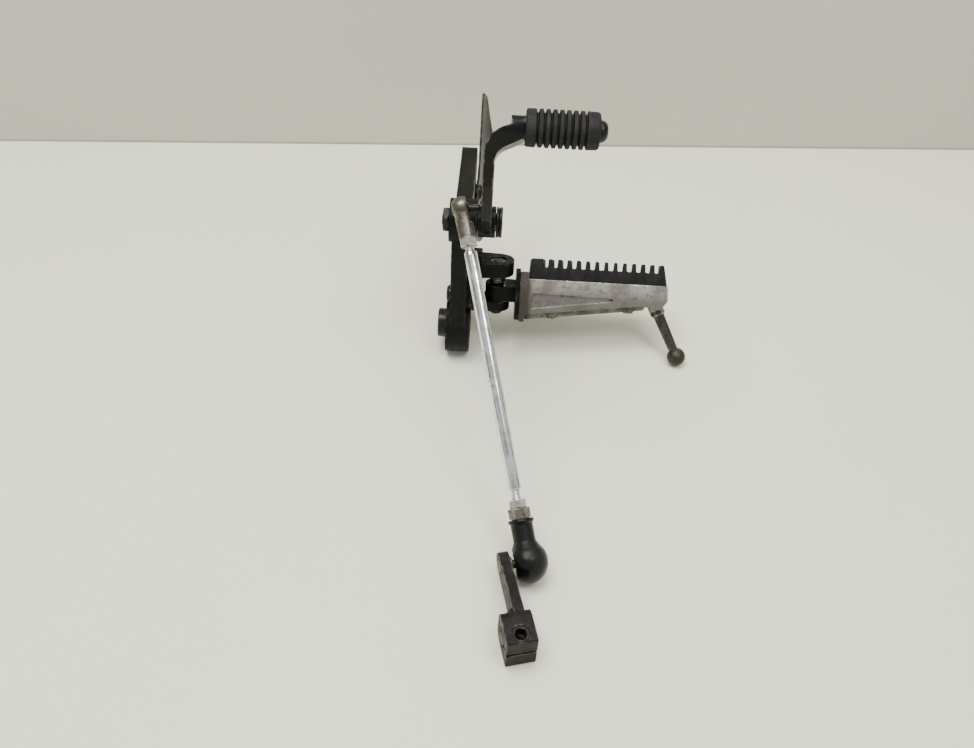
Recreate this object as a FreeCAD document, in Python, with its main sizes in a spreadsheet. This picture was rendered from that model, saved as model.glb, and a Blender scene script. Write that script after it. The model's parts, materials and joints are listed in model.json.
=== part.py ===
import FreeCAD, Part
import math
import os
import re
import Sketcher

# Left-hand motorcycle foot peg set: a cast bracket with a fold-up foot peg, a shift lever with a
# rubber toe peg, and the ball-jointed link rod and clamp arm that the lever works.
# Frame: +X away from the motorcycle, +Z up as the set stands on a bench, origin in the lower mount.
# "Bike" axes lean forward from the bench's: x outward, r rearward, u up on the motorcycle.

V = FreeCAD.Vector
doc = FreeCAD.newDocument("FootPegSet")

driving = [
    # the set as a whole
    ("lean_angle", 40, "lean of the motorcycle's upright on the bench, degrees"),
    # bracket
    ("plate_inner", 9, "inner face of the bracket's webs"),
    ("plate_outer", 20, "outer face of the bracket's webs"),
    ("arm_inner", 10.5, "inner face of the slimmer upper arm"),
    ("arm_outer", 21.6, "outer face of the slimmer upper arm"),
    ("recess_depth", 2.5, "depth of the lightening recesses"),
    ("web_rim", 3.6, "rim left round a lightening recess"),
    ("lower_radius", 20.5, "outer radius of the lower mounting boss"),
    ("lower_inner", 6, "inner face of the lower boss, also the collar's stand-off"),
    ("lower_outer", 23, "outer face of the lower boss"),
    ("upper_r", 10, "upper mount, rearward of the lower mount"),
    ("upper_u", 116.5, "upper mount, above the lower mount"),
    ("upper_radius", 11, "outer radius of the upper boss"),
    ("rear_r", 83.3, "rear arm end, rearward of the lower mount"),
    ("rear_radius", 10, "outer radius of the rear arm's end"),
    ("knee_r", 14, "bend of the rear arm, rearward of the lower mount"),
    ("knee_u", 62, "bend of the rear arm, above the lower mount"),
    ("knee_radius", 13, "half the bracket's width at that bend"),
    ("web_taper", 3, "how much slimmer a web is than the boss at its end"),
    # mounting bores
    ("mount_bore", 4.2, "radius of the mounting bores"),
    ("collar_flange", 10.5, "radius of the lower collar's flange"),
    ("collar_tube", 6.5, "outer radius of the lower collar's tube"),
    ("grommet_wall", 5.5, "wall of the lower mount's rubber grommet"),
    ("bush_wall", 2.2, "wall of the upper and rear mount bushes"),
    # lever pivot
    ("pivot_r", -55.4, "lever pivot, rearward of the lower mount"),
    ("pivot_u", 71.2, "lever pivot, above the lower mount"),
    ("pivot_inner", 7, "inner face of the pivot boss"),
    ("pivot_outer", 25.5, "outer face of the pivot boss"),
    ("pivot_boss", 14.5, "outer radius of the bracket's pivot boss"),
    ("shoulder_radius", 6, "radius of the pivot pin's shoulder"),
    ("pivot_thread", 4, "radius of the pivot pin's thread"),
    ("disc_radius", 10.2, "radius of the pivot pin's head and its washer"),
    ("washer_thickness", 1.7, "thickness of the pivot washer"),
    ("head_thickness", 2.4, "thickness of the pivot pin's head"),
    ("pivot_nut_flat", 7.6, "half the width across the pivot nut's flats"),
    ("pivot_nut_height", 4.4, "height of the pivot nut"),
    # shift lever
    ("lever_inner", 26.1, "inner end of the lever's boss"),
    ("lever_boss_length", 11.6, "length of the lever's boss"),
    ("lever_boss", 10.4, "outer radius of the lever's boss"),
    ("lever_thickness", 6, "thickness of the lever's arm"),
    ("lever_arm_inner", 28.8, "inner face of the lever's arm"),
    ("bush_thickness", 1.6, "wall of the lever's bush"),
    ("seal_length", 1.6, "width of a lever seal"),
    ("stud_r", -41, "ball stud on the lever, rearward of the pivot"),
    ("stud_u", 5.6, "ball stud on the lever, above the pivot"),
    ("stud_eye", 8, "radius of the lever's eye round the ball stud"),
    ("elbow_r", -70, "middle of the lever's arm, rearward of the pivot"),
    ("elbow_u", 22, "middle of the lever's arm, above the pivot"),
    ("elbow_radius", 7, "half the lever's width at its middle"),
    ("toe_r", -96.6, "toe peg, rearward of the pivot"),
    ("toe_u", 48, "toe peg, above the pivot"),
    ("toe_boss", 6.4, "radius of the toe boss"),
    ("toe_boss_inner", 43.2, "inner end of the toe boss"),
    ("toe_boss_length", 8.1, "length of the toe boss"),
    ("bend_inner_u", 42.5, "bend of the lever's inner face, above the pivot"),
    ("bend_outer_u", 34.5, "bend of the lever's outer face, above the pivot"),
    ("bend_angle", 66, "angle of the lever's outward bend, degrees"),
    # toe peg
    ("toe_rubber_radius", 10.7, "outer radius of the toe rubber"),
    ("toe_rubber_length", 41.5, "length of the toe rubber"),
    ("toe_groove_depth", 2.2, "depth of the toe rubber's grooves"),
    ("toe_groove_width", 1.8, "width of the toe rubber's grooves at the mouth"),
    ("toe_first_rib", 5.6, "width of the toe rubber's first rib"),
    ("toe_last_rib", 7.2, "width of the toe rubber's last rib"),
    ("toe_pin_radius", 4, "radius of the toe pin"),
    ("toe_thread", 3, "radius of the toe pin's thread"),
    ("dome_radius", 6.2, "radius of the toe pin's domed head"),
    ("dome_height", 4.6, "height of the toe pin's domed head"),
    # link rod and its joints
    ("ball_x", 16.2, "centre of the upper ball, from the collar's inner face"),
    ("ball_radius", 4.75, "radius of both balls"),
    ("stud_neck", 2.6, "radius of a ball stud's neck"),
    ("stud_thread", 3, "radius of a ball stud's thread"),
    ("seat_wall", 0.7, "wall of a plastic ball seat"),
    ("housing_wall", 1.6, "wall of a rod end round its seat"),
    ("rod_length", 220, "length of the link, ball to ball"),
    ("rod_side_angle", 13.7, "sideways slant of the link, degrees"),
    ("rod_radius", 4, "radius of the link rod"),
    ("rod_thread", 2.9, "radius of the link rod's threads"),
    ("shank_length", 20.5, "length of the upper rod end from its ball"),
    ("lower_shank", 32, "length of the lower rod end from its ball"),
    ("shank_radius", 5.2, "radius of a rod end's shank"),
    ("end_flat", 5.7, "half the width across the lower rod end's flats"),
    ("jam_flat", 5, "half the width across a jam nut's flats"),
    ("jam_height", 5, "height of a jam nut"),
    ("upper_thread_gap", 3, "thread showing above the rod"),
    ("lower_thread_gap", 6, "thread showing below the rod"),
    ("boot_radius", 12.8, "outer radius of the rubber boot"),
    ("boot_wall", 1.5, "wall of the rubber boot"),
    ("boot_neck", 7.1, "outer radius of the boot's neck"),
    ("boot_lip", 8, "outer radius of the boot's lip"),
    ("boot_length", 25.5, "length of the boot from its ball to its lip"),
    # shift arm
    ("arm_length", 44.5, "shift arm, ball stud to shaft bore"),
    ("arm_yaw", 14, "turn of the shift arm on the bench, degrees"),
    ("ball_lift", 12.9, "height of the lower ball above the bench"),
    ("arm_offset", 11.8, "ball centre to the near face of the shift arm"),
    ("arm_thickness", 6, "thickness of the shift arm"),
    ("arm_eye", 8, "radius of the shift arm's eye"),
    ("clamp_width", 17.5, "length of the shift arm's clamp along its shaft"),
    ("clamp_shift", 2.6, "how far the clamp sits inward of the arm's middle"),
    ("clamp_flare", 5, "length of the web that joins the arm to its clamp"),
    ("clamp_height", 25.5, "height of the clamp"),
    ("clamp_back", 9, "shaft centre to the clamp's back face"),
    ("clamp_front", 12.5, "shaft centre to the clamp's split face"),
    ("shaft_bore", 6.5, "radius of the clamp's shaft bore"),
    ("slit_width", 2.2, "width of the clamp's slit"),
    ("pinch_radius", 3.6, "radius of the empty pinch bolt hole"),
    ("pinch_offset", 7.2, "shaft centre to the pinch bolt hole"),
    ("spot_face", 5.4, "radius of the pinch bolt's spot face"),
    # peg holder and hinge
    ("pin_x", 41.2, "hinge pin, from the collar's inner face"),
    ("pin_r", 2.6, "hinge pin centre, rearward of the lower mount"),
    ("pin_u", 27, "hinge pin centre, above the lower mount"),
    ("pin_rake", 22, "forward rake of the hinge pin, degrees"),
    ("pin_radius", 4, "radius of the hinge pin"),
    ("hinge_gap", 0.06, "running clearance round a shaft"),
    ("ear_top", 22.5, "top of the upper ear along the pin"),
    ("ear_upper", 12.2, "underside of the upper ear along the pin"),
    ("ear_lower", -7.5, "top of the lower ear along the pin"),
    ("ear_bottom", -14.5, "underside of the lower ear along the pin"),
    ("upper_ear_radius", 11.5, "radius of the upper ear"),
    ("lower_ear_radius", 9.6, "radius of the lower ear"),
    ("foot_thickness", 7, "thickness of the holder's foot"),
    ("holder_bolt_r", 21.5, "holder bolts, each side of the hinge pin"),
    ("front_bolt_u", -5.5, "front holder bolt, above the hinge pin"),
    ("rear_bolt_u", 15, "rear holder bolt, above the hinge pin"),
    ("holder_bolt_radius", 4, "radius of a holder bolt"),
    ("holder_lug", 10, "radius of the holder's foot round a bolt"),
    ("clip_thickness", 0.8, "thickness of the pin's clip"),
    ("spring_wire", 1.5, "wire diameter of the peg's spring"),
    # foot peg
    ("side_gap", 0.3, "clearance each side of the hinge knuckle"),
    ("knuckle_top", 4.5, "top of the hinge knuckle along the pin"),
    ("knuckle_radius", 8.4, "radius of the hinge knuckle"),
    ("plate_start", 13.6, "hinge pin to the knuckle's backing plate"),
    ("back_plate", 2.9, "thickness of the knuckle's backing plate"),
    ("peg_length", 123, "hinge pin to the peg's tip"),
    ("peg_half_width", 16, "half the peg's width at its root"),
    ("tip_half_width", 11.5, "half the peg's width at its tip"),
    ("flange_top", 13, "top of the peg's root flange"),
    ("flange_bottom", -23, "bottom of the peg's root flange"),
    ("flange_thickness", 4, "thickness of the peg's root flange"),
    ("seat_height", 8, "height of the tread rubber's seat"),
    ("root_depth", -17.8, "bottom of the peg's side walls at the root"),
    ("tip_depth", -4.5, "bottom of the peg's side walls near the tip"),
    ("rib_depth", 4, "how far the centre rib stands below the walls"),
    ("peg_wall", 4.4, "wall of the peg's casting"),
    ("side_recess", 2.6, "depth of the recess in the peg's side"),
    # tread rubber
    ("rubber_height", 14.8, "height of the tread rubber"),
    ("rubber_start", 23, "hinge pin to the tread rubber"),
    ("groove_depth", 6, "depth of the tread's grooves"),
    ("groove_pitch", 6.66, "pitch of the tread's grooves"),
    ("groove_width", 4.2, "width of the tread's grooves"),
    ("groove_skew", 7, "turn of the tread's grooves from straight across, degrees"),
    ("first_block", 10.4, "width of the tread's first block"),
    ("groove_count", 13, "number of grooves in the tread"),
    ("tread_screw", 2.5, "radius of a tread screw"),
    ("screw_boss", 5.4, "radius of the boss under a tread screw"),
    ("screw_stand", 2.2, "how far a tread screw's seat stands below the walls"),
    ("tread_plate", 2, "thickness of the plate moulded into the tread rubber"),
    # bank sensor
    ("sensor_inset", 6, "peg's tip to the bank sensor's seat"),
    ("sensor_tilt", 27, "outward tilt of the bank sensor, degrees"),
    ("sensor_ball", 6.7, "radius of the bank sensor's ball"),
    ("sensor_stem", 3.9, "radius of the bank sensor's stem"),
    ("sensor_hex", 4.6, "half the width across the bank sensor's flats"),
    ("sensor_seat", -9, "height of the bank sensor's seat, from the hinge pin"),
    ("sensor_thread", 3, "radius of the bank sensor's thread"),
    ("sensor_boss", 5.4, "radius of the boss that the bank sensor screws into"),
    # heel guard
    ("guard_inner", 22.4, "inner face of the heel guard at its front"),
    ("guard_thickness", 1.6, "thickness of the heel guard"),
    ("guard_flare", 90, "radius of the heel guard's outward flare"),
    ("guard_flare_angle", 25, "angle of the heel guard's outward flare, degrees"),
    ("guard_flare_r", 41, "middle of the flare, rearward of the lower mount"),
    ("guard_top", 170, "top of the heel guard, above the lower mount"),
    ("guard_bottom", 61, "bottom of the heel guard, above the lower mount"),
    ("guard_front", -2, "front edge of the heel guard"),
    ("guard_rear", 63, "rear edge of the heel guard"),
    ("guard_screw", 3, "radius of a heel guard screw"),
    ("guard_boss", 6, "radius of a heel guard boss"),
    ("guard_screw_r", 12, "heel guard screws, rearward of the lower mount"),
    ("guard_low_u", 72, "lower heel guard screw, above the lower mount"),
    ("guard_high_u", 96, "upper heel guard screw, above the lower mount"),
]

# Values worked out from the driving ones, so that what fits together stays together.
derived = [
    ("rear_u", "(rear_radius - lower_radius + rear_r * sin(lean_angle)) / cos(lean_angle)",
     "rear arm end, set so that it stands on the bench"),
    ("grommet_radius", "collar_tube + grommet_wall", "radius of the lower boss's bore"),
    ("bush_radius", "mount_bore + bush_wall", "radius of the upper and rear bush holes"),
    ("lever_bore", "shoulder_radius + hinge_gap + bush_thickness", "bore of the lever's boss"),
    ("lever_outer", "lever_inner + lever_boss_length", "outer end of the lever's boss"),
    ("washer_inner", "lever_outer + side_gap", "inner face of the pivot washer"),
    ("head_inner", "washer_inner + washer_thickness", "inner face of the pivot pin's head"),
    ("nut_inner", "pivot_inner - pivot_nut_height", "inner end of the pivot nut"),
    ("lever_arm_outer", "lever_arm_inner + lever_thickness", "outer face of the lever's arm"),
    ("toe_end", "toe_boss_inner + toe_boss_length", "outer end of the toe boss"),
    ("toe_tip", "toe_end + toe_rubber_length", "outer end of the toe rubber"),
    ("seat_radius", "ball_radius + hinge_gap", "inner radius of a ball seat"),
    ("cup_radius", "seat_radius + seat_wall", "inner radius of a rod end's cup"),
    ("housing_radius", "cup_radius + housing_wall", "outer radius of a rod end's head"),
    ("arm_middle", "-arm_offset - arm_thickness / 2", "middle of the shift arm's thickness"),
    ("clamp_centre", "arm_middle - clamp_shift", "middle of the shift arm's clamp"),
    ("knuckle_bottom", "ear_lower + side_gap", "underside of the hinge knuckle"),
    ("peg_start", "plate_start + back_plate", "inner face of the peg's root flange"),
    ("rubber_length", "peg_length - 0.6 - rubber_start", "length of the tread rubber"),
    ("holder_face", "lower_outer", "outer face of the land under the peg holder"),
    ("tip_start", "peg_length - 10", "start of the peg's solid tip"),
    ("near_screw", "rubber_start + 18", "tread screw near the hinge"),
    ("far_screw", "rubber_start + rubber_length - 26", "tread screw near the tip"),
    ("wall_slope", "(tip_depth - 3 - root_depth) / (tip_start - 8 - peg_start - flange_thickness)",
     "slope of the lower edge of the peg's walls"),
    ("near_seat", "root_depth + wall_slope * (near_screw - peg_start - flange_thickness) - screw_stand",
     "seat of the tread screw near the hinge"),
    ("far_seat", "root_depth + wall_slope * (far_screw - peg_start - flange_thickness) - screw_stand",
     "seat of the tread screw near the tip"),
    ("peg_taper", "atan((peg_half_width - tip_half_width) / (peg_length + 1 - rubber_start))",
     "taper of each side of the peg, degrees"),
    ("sensor_x", "peg_length - sensor_inset", "hinge pin to the bank sensor's seat"),
    ("sensor_length", "((pin_u + sensor_seat) * cos(lean_angle) - pin_r * sin(lean_angle)"
     " + lower_radius - sensor_ball) / (cos(sensor_tilt) * cos(lean_angle))",
     "length of the bank sensor, so that its ball stands on the bench"),
]

sheet_of = {}


def fill_sheet(name, rows, formula):
    """Write one row for each named value: its note, its content and its alias."""
    sheet = doc.addObject("Spreadsheet::Sheet", name)
    for line, (alias, content, note) in enumerate(rows, start=1):
        sheet.set("A%d" % line, note)
        sheet.set("B%d" % line, "=" + expression(content) if formula else str(content))
        sheet.setAlias("B%d" % line, alias)
        sheet_of[alias] = name
    doc.recompute()
    return sheet


def expression(text):
    """Put the sheet's name before each alias that the text uses."""
    return re.sub(r"[a-z_]+", lambda word: sheet_of[word[0]] + "." + word[0]
                  if word[0] in sheet_of else word[0], str(text))


dims = fill_sheet("dims", driving, False)
fits = fill_sheet("fits", derived, True)


def value(text):
    """The present value of an expression in the sheets' aliases."""
    return float(dims.evalExpression(expression(text)))


def bind(thing, **properties):
    """Bind properties of an object to expressions in the sheets' aliases."""
    for name, text in properties.items():
        thing.setExpression(name.replace("__", "."), expression(text))


# ---- frames -------------------------------------------------------------------------------

def turn(axis, angle):
    return FreeCAD.Placement(V(0, 0, 0), FreeCAD.Rotation(axis, angle))


def shift(x, y, z):
    return FreeCAD.Placement(V(value(x), value(y), value(z)), FreeCAD.Rotation())


bike = turn(V(1, 0, 0), -value("lean_angle"))
lever_frame = bike * shift(0, "pivot_r", "pivot_u")
peg_frame = bike * shift("pin_x", "pin_r", "pin_u")
hinge_frame = peg_frame * turn(V(1, 0, 0), value("pin_rake"))
along_z = turn(V(0, 1, 0), -90)       # carries a turned part's own x axis onto the frame's z axis
floor_level = -value("lower_radius")


def link_frames():
    """Frames of the link rod and of the shift arm, each at its ball, from the lever's ball stud."""
    upper = lever_frame.multVec(V(value("ball_x"), value("stud_r"), value("stud_u")))
    side = math.radians(value("rod_side_angle"))
    fall = upper.z - (floor_level + value("ball_lift"))
    drop = math.asin(fall / (value("rod_length") * math.cos(side)))
    along = V(math.sin(side), -math.cos(side) * math.cos(drop), -math.cos(side) * math.sin(drop))
    across = along.cross(V(1, 0, 0)).normalize()
    turned_rod = FreeCAD.Rotation(along, across * -1, across.cross(along), "XYZ")
    lower = upper + along * value("rod_length")
    arm = FreeCAD.Placement(lower, FreeCAD.Rotation(V(0, 0, 1), value("arm_yaw")))
    return FreeCAD.Placement(upper, turned_rod), arm


rod_frame, arm_frame = link_frames()


# ---- sketches -----------------------------------------------------------------------------

def new_body(name):
    body = doc.addObject("PartDesign::Body", name)
    body.Label = name
    return body


def sketch(body, plane, offset="0", rake=None):
    """A sketch on one of the body's planes, moved along its normal and raked about its x axis."""
    sk = body.newObject("Sketcher::SketchObject", body.Name + "_sketch")
    flat = [face for face in body.Origin.OriginFeatures if face.Role == plane + "_Plane"][0]
    sk.AttachmentSupport = [(flat, "")]
    sk.MapMode = "FlatFace"
    if rake is None:
        bind(sk, AttachmentOffset__Base__z=offset)
        return sk
    sk.AttachmentOffset = turn(V(1, 0, 0), value(rake))
    bind(sk, AttachmentOffset__Rotation__Angle=rake,
         AttachmentOffset__Base__y="-(%s) * sin(%s)" % (offset, rake),
         AttachmentOffset__Base__z="(%s) * cos(%s)" % (offset, rake))
    return sk


def slant(sk, axis, angle):
    """Turn a sketch about one of its own axes."""
    sk.AttachmentOffset = FreeCAD.Placement(sk.AttachmentOffset.Base, FreeCAD.Rotation(axis, value(angle)))
    bind(sk, AttachmentOffset__Rotation__Angle=angle)


def fix(sk, kind, *where, to):
    """Add one dimension to a sketch and bind it to an expression."""
    number = sk.addConstraint(Sketcher.Constraint(kind, *where, value(to)))
    sk.setExpression("Constraints[%d]" % number, expression(to))


def fix_point(sk, curve, end, x, y):
    fix(sk, "DistanceX", curve, end, to=x)
    fix(sk, "DistanceY", curve, end, to=y)


def circle(sk, x, y, radius):
    middle = V(value(x), value(y), 0)
    curve = sk.addGeometry(Part.Circle(middle, V(0, 0, 1), value(radius)))
    fix_point(sk, curve, 3, x, y)
    fix(sk, "Radius", curve, to=radius)


def link(sk, first, second):
    """Outline of a tapered link: two round ends, each (x, y, radius), joined by tangent lines."""
    (x1, y1, r1), (x2, y2, r2) = [[value(part) for part in end] for end in (first, second)]
    heading = math.atan2(y2 - y1, x2 - x1)
    spread = math.acos((r1 - r2) / math.hypot(x2 - x1, y2 - y1))
    touch = []
    for centre_x, centre_y, radius in ((x1, y1, r1), (x2, y2, r2)):
        for angle in (heading + spread, heading - spread):
            touch.append(V(centre_x + radius * math.cos(angle), centre_y + radius * math.sin(angle), 0))
    left = sk.addGeometry(Part.LineSegment(touch[0], touch[2]))
    right = sk.addGeometry(Part.LineSegment(touch[1], touch[3]))
    start = sk.addGeometry(Part.ArcOfCircle(Part.Circle(V(x1, y1, 0), V(0, 0, 1), r1),
                                            heading + spread, heading - spread + 2 * math.pi))
    end = sk.addGeometry(Part.ArcOfCircle(Part.Circle(V(x2, y2, 0), V(0, 0, 1), r2),
                                          heading - spread, heading + spread))
    for line, line_end, arc, arc_end in ((left, 1, start, 1), (right, 1, start, 2),
                                         (left, 2, end, 2), (right, 2, end, 1)):
        sk.addConstraint(Sketcher.Constraint("Tangent", line, line_end, arc, arc_end))
    for arc, (x, y, radius) in ((start, first), (end, second)):
        fix(sk, "Radius", arc, to=radius)
        fix_point(sk, arc, 3, x, y)


def corner_arc(before, here, after, radius):
    """The arc of the given radius that rounds the corner at `here`, and its two tangent points."""
    towards = (before - here).normalize()
    away = (after - here).normalize()
    half = towards.getAngle(away) / 2
    reach = radius / math.tan(half)
    middle = here + (towards + away).normalize() * (radius / math.sin(half))
    start, end = here + towards * reach, here + away * reach
    left_turn = towards.cross(away).z < 0
    first, last = (start, end) if left_turn else (end, start)
    a0 = math.atan2(first.y - middle.y, first.x - middle.x)
    a1 = math.atan2(last.y - middle.y, last.x - middle.x)
    if a1 < a0:
        a1 += 2 * math.pi
    return Part.ArcOfCircle(Part.Circle(middle, V(0, 0, 1), radius), a0, a1), start, end, left_turn


def outline(sk, points):
    """A closed outline through (x, y) corners, or (x, y, radius) where a corner is rounded."""
    count = len(points)
    spots = [V(value(point[0]), value(point[1]), 0) for point in points]
    arcs = {}
    for i, point in enumerate(points):
        if len(point) == 3:
            arcs[i] = corner_arc(spots[i - 1], spots[i], spots[(i + 1) % count], value(point[2]))
    lines = []
    for i in range(count):
        j = (i + 1) % count
        start = arcs[i][2] if i in arcs else spots[i]
        end = arcs[j][1] if j in arcs else spots[j]
        lines.append(sk.addGeometry(Part.LineSegment(start, end)))
    for i, point in enumerate(points):
        before, after = lines[i - 1], lines[i]
        if i not in arcs:
            sk.addConstraint(Sketcher.Constraint("Coincident", before, 2, after, 1))
            fix_point(sk, after, 1, point[0], point[1])
            continue
        arc, _, _, left_turn = arcs[i]
        curve = sk.addGeometry(arc)
        corner = sk.addGeometry(Part.Point(spots[i]), True)
        sk.addConstraint(Sketcher.Constraint("Tangent", before, 2, curve, 1 if left_turn else 2))
        sk.addConstraint(Sketcher.Constraint("Tangent", after, 1, curve, 2 if left_turn else 1))
        sk.addConstraint(Sketcher.Constraint("PointOnObject", corner, 1, before))
        sk.addConstraint(Sketcher.Constraint("PointOnObject", corner, 1, after))
        fix_point(sk, corner, 1, point[0], point[1])
        fix(sk, "Radius", curve, to=point[2])


def hexagon(sk, half_width):
    """A regular hexagon round the sketch's origin, flat side up."""
    corner = "(%s) / cos(30)" % half_width
    outline(sk, [("%s * cos(%d)" % (corner, angle), "%s * sin(%d)" % (corner, angle))
                 for angle in range(0, 360, 60)])


# ---- features -----------------------------------------------------------------------------

def feature(body, kind, sk, **options):
    made = body.newObject("PartDesign::" + kind, body.Name + "_" + kind.lower())
    made.Profile = sk
    sk.Visibility = False
    for name, option in options.items():
        if isinstance(option, str) and name in ("Length", "Length2", "Angle"):
            bind(made, **{name: option})
        else:
            setattr(made, name, option)
    doc.recompute()
    return made


def pad(body, sk, length, middle=False, backward=False):
    return feature(body, "Pad", sk, Length=length, Midplane=middle, Reversed=backward)


def pocket(body, sk, length, middle=False, backward=False):
    before = body.Shape.Volume
    made = feature(body, "Pocket", sk, Length=length, Midplane=middle, Reversed=backward)
    if body.Shape.Volume > before - 0.01:
        raise RuntimeError("a pocket in %s cuts nothing" % body.Label)
    return made


def turned(name, points, frame):
    """A turned piece: a profile of (x, radius) points revolved about the frame's x axis."""
    body = new_body(name)
    revolve(body, points)
    body.Placement = frame
    return body


def revolve(body, points, kind="Revolution"):
    sk = sketch(body, "XY")
    outline(sk, points)
    return feature(body, kind, sk, ReferenceAxis=(sk, ["H_Axis"]), Angle=360.0)


def rod_piece(kind, name, x_from, x_to=None, radius=None, tip=None):
    """One sphere, cylinder, cone or hexagonal prism about the x axis, bound to the sheet."""
    made = doc.addObject("Part::" + kind, name + "_" + kind.lower())
    if kind == "Sphere":
        bind(made, Radius=radius)
    elif kind == "Cylinder":
        bind(made, Radius=radius, Height="(%s) - (%s)" % (x_to, x_from))
    elif kind == "Prism":
        bind(made, Circumradius="(%s) / cos(30)" % radius, Height="(%s) - (%s)" % (x_to, x_from))
    else:
        bind(made, Radius1=radius, Radius2=tip, Height="(%s) - (%s)" % (x_to, x_from))
    made.Placement = turn(V(0, 1, 0), 90)
    bind(made, Placement__Base__x=x_from)
    return made


def combine(kind, name, shapes):
    made = doc.addObject("Part::" + kind, name)
    if kind == "Cut":
        made.Base, made.Tool = shapes
    else:
        made.Shapes = shapes
    for part in shapes:
        part.Visibility = False
    return made


def along_axis(name, frame, keep, cut=()):
    """A piece joined from spheres, cylinders and cones on one axis, less the ones in `cut`."""
    solid = [rod_piece(kind, name, *sizes) for kind, *sizes in keep]
    made = combine("MultiFuse", name + "_whole", solid) if len(solid) > 1 else solid[0]
    if cut:
        holes = [rod_piece(kind, name + "_cut", *sizes) for kind, *sizes in cut]
        tool = combine("MultiFuse", name + "_holes", holes) if len(holes) > 1 else holes[0]
        made = combine("Cut", name, [made, tool])
    made.Label = name
    made.Placement = frame
    doc.recompute()
    return made


# ---- bracket and its mounts ---------------------------------------------------------------

mount_at = ("0", "0")
pivot_at = ("pivot_r", "pivot_u")
upper_at = ("upper_r", "upper_u")
rear_at = ("rear_r", "rear_u")
knee_at = ("knee_r", "knee_u")
front_bolt = ("pin_r - holder_bolt_r", "pin_u + front_bolt_u")
rear_bolt = ("pin_r + holder_bolt_r", "pin_u + rear_bolt_u")
guard_holes = [("guard_screw_r", "guard_low_u"), ("guard_screw_r", "guard_high_u")]


def make_bracket():
    body = new_body("bracket")
    webs = [
        (mount_at, "lower_radius - web_taper", pivot_at, "pivot_boss - web_taper", "plate"),
        (mount_at, "lower_radius - web_taper", knee_at, "knee_radius", "plate"),
        (knee_at, "knee_radius - web_taper", rear_at, "rear_radius", "plate"),
        (knee_at, "knee_radius - web_taper", upper_at, "upper_radius", "arm"),
        (pivot_at, "pivot_boss - web_taper", upper_at, "upper_radius - web_taper / 2", "arm"),
    ]
    for start, start_radius, end, end_radius, level in webs:
        web = sketch(body, "YZ", level + "_inner")
        link(web, (*start, start_radius), (*end, end_radius))
        pad(body, web, "%s_outer - %s_inner" % (level, level))
    bosses = [
        (mount_at, "lower_radius", "lower_inner", "lower_outer"),
        (pivot_at, "pivot_boss", "pivot_inner", "pivot_outer"),
    ]
    bosses += [(spot, "guard_boss", "arm_outer - recess_depth", "guard_inner") for spot in guard_holes]
    for spot, radius, inner, outer in bosses:
        disc = sketch(body, "YZ", inner)
        circle(disc, *spot, radius)
        pad(body, disc, "%s - (%s)" % (outer, inner))
    land = sketch(body, "YZ", "plate_outer")
    link(land, (*front_bolt, "holder_lug"), (*rear_bolt, "holder_lug"))
    pad(body, land, "holder_face - plate_outer")
    recess = sketch(body, "YZ", "plate_outer")
    link(recess, (*knee_at, "knee_radius - web_taper - web_rim"), (*rear_at, "rear_radius - web_rim"))
    pocket(body, recess, "recess_depth")
    holes = [
        (mount_at, "grommet_radius"),
        (upper_at, "bush_radius"),
        (rear_at, "bush_radius"),
        (pivot_at, "shoulder_radius + hinge_gap / 2"),
        (front_bolt, "holder_bolt_radius + side_gap"),
        (rear_bolt, "holder_bolt_radius + side_gap"),
    ]
    for spot, radius in holes:
        hole = sketch(body, "YZ", "0")
        circle(hole, *spot, radius)
        pocket(body, hole, "2 * pivot_outer + 10", middle=True)
    for spot in guard_holes:
        hole = sketch(body, "YZ", "guard_inner")
        circle(hole, *spot, "guard_screw")
        pocket(body, hole, "guard_inner - arm_inner - web_rim / 2")
    body.Placement = bike
    return body


def make_mount_bushes():
    """The lower mount's steel collar in its rubber grommet, and the plain steel bushes."""
    turned("lower_mount_collar", [
        ("0", "mount_bore"),
        ("0", "collar_flange - 0.6"),
        ("0.6", "collar_flange"),
        ("lower_inner", "collar_flange"),
        ("lower_inner", "collar_tube"),
        ("lower_outer + 0.4", "collar_tube"),
        ("lower_outer + 0.4", "mount_bore"),
    ], bike)
    turned("lower_mount_grommet", [
        ("lower_inner", "collar_tube"),
        ("lower_inner", "grommet_radius"),
        ("lower_outer", "grommet_radius"),
        ("lower_outer", "collar_tube"),
    ], bike)
    for name, spot, level in (("upper_mount_bush", upper_at, "arm"), ("rear_arm_bush", rear_at, "plate")):
        turned(name, [
            (level + "_inner - 0.3", "mount_bore"),
            (level + "_inner - 0.3", "bush_radius"),
            (level + "_outer + 0.3", "bush_radius"),
            (level + "_outer + 0.3", "mount_bore"),
        ], bike * shift(0, *spot))


# ---- heel guard ---------------------------------------------------------------------------

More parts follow.
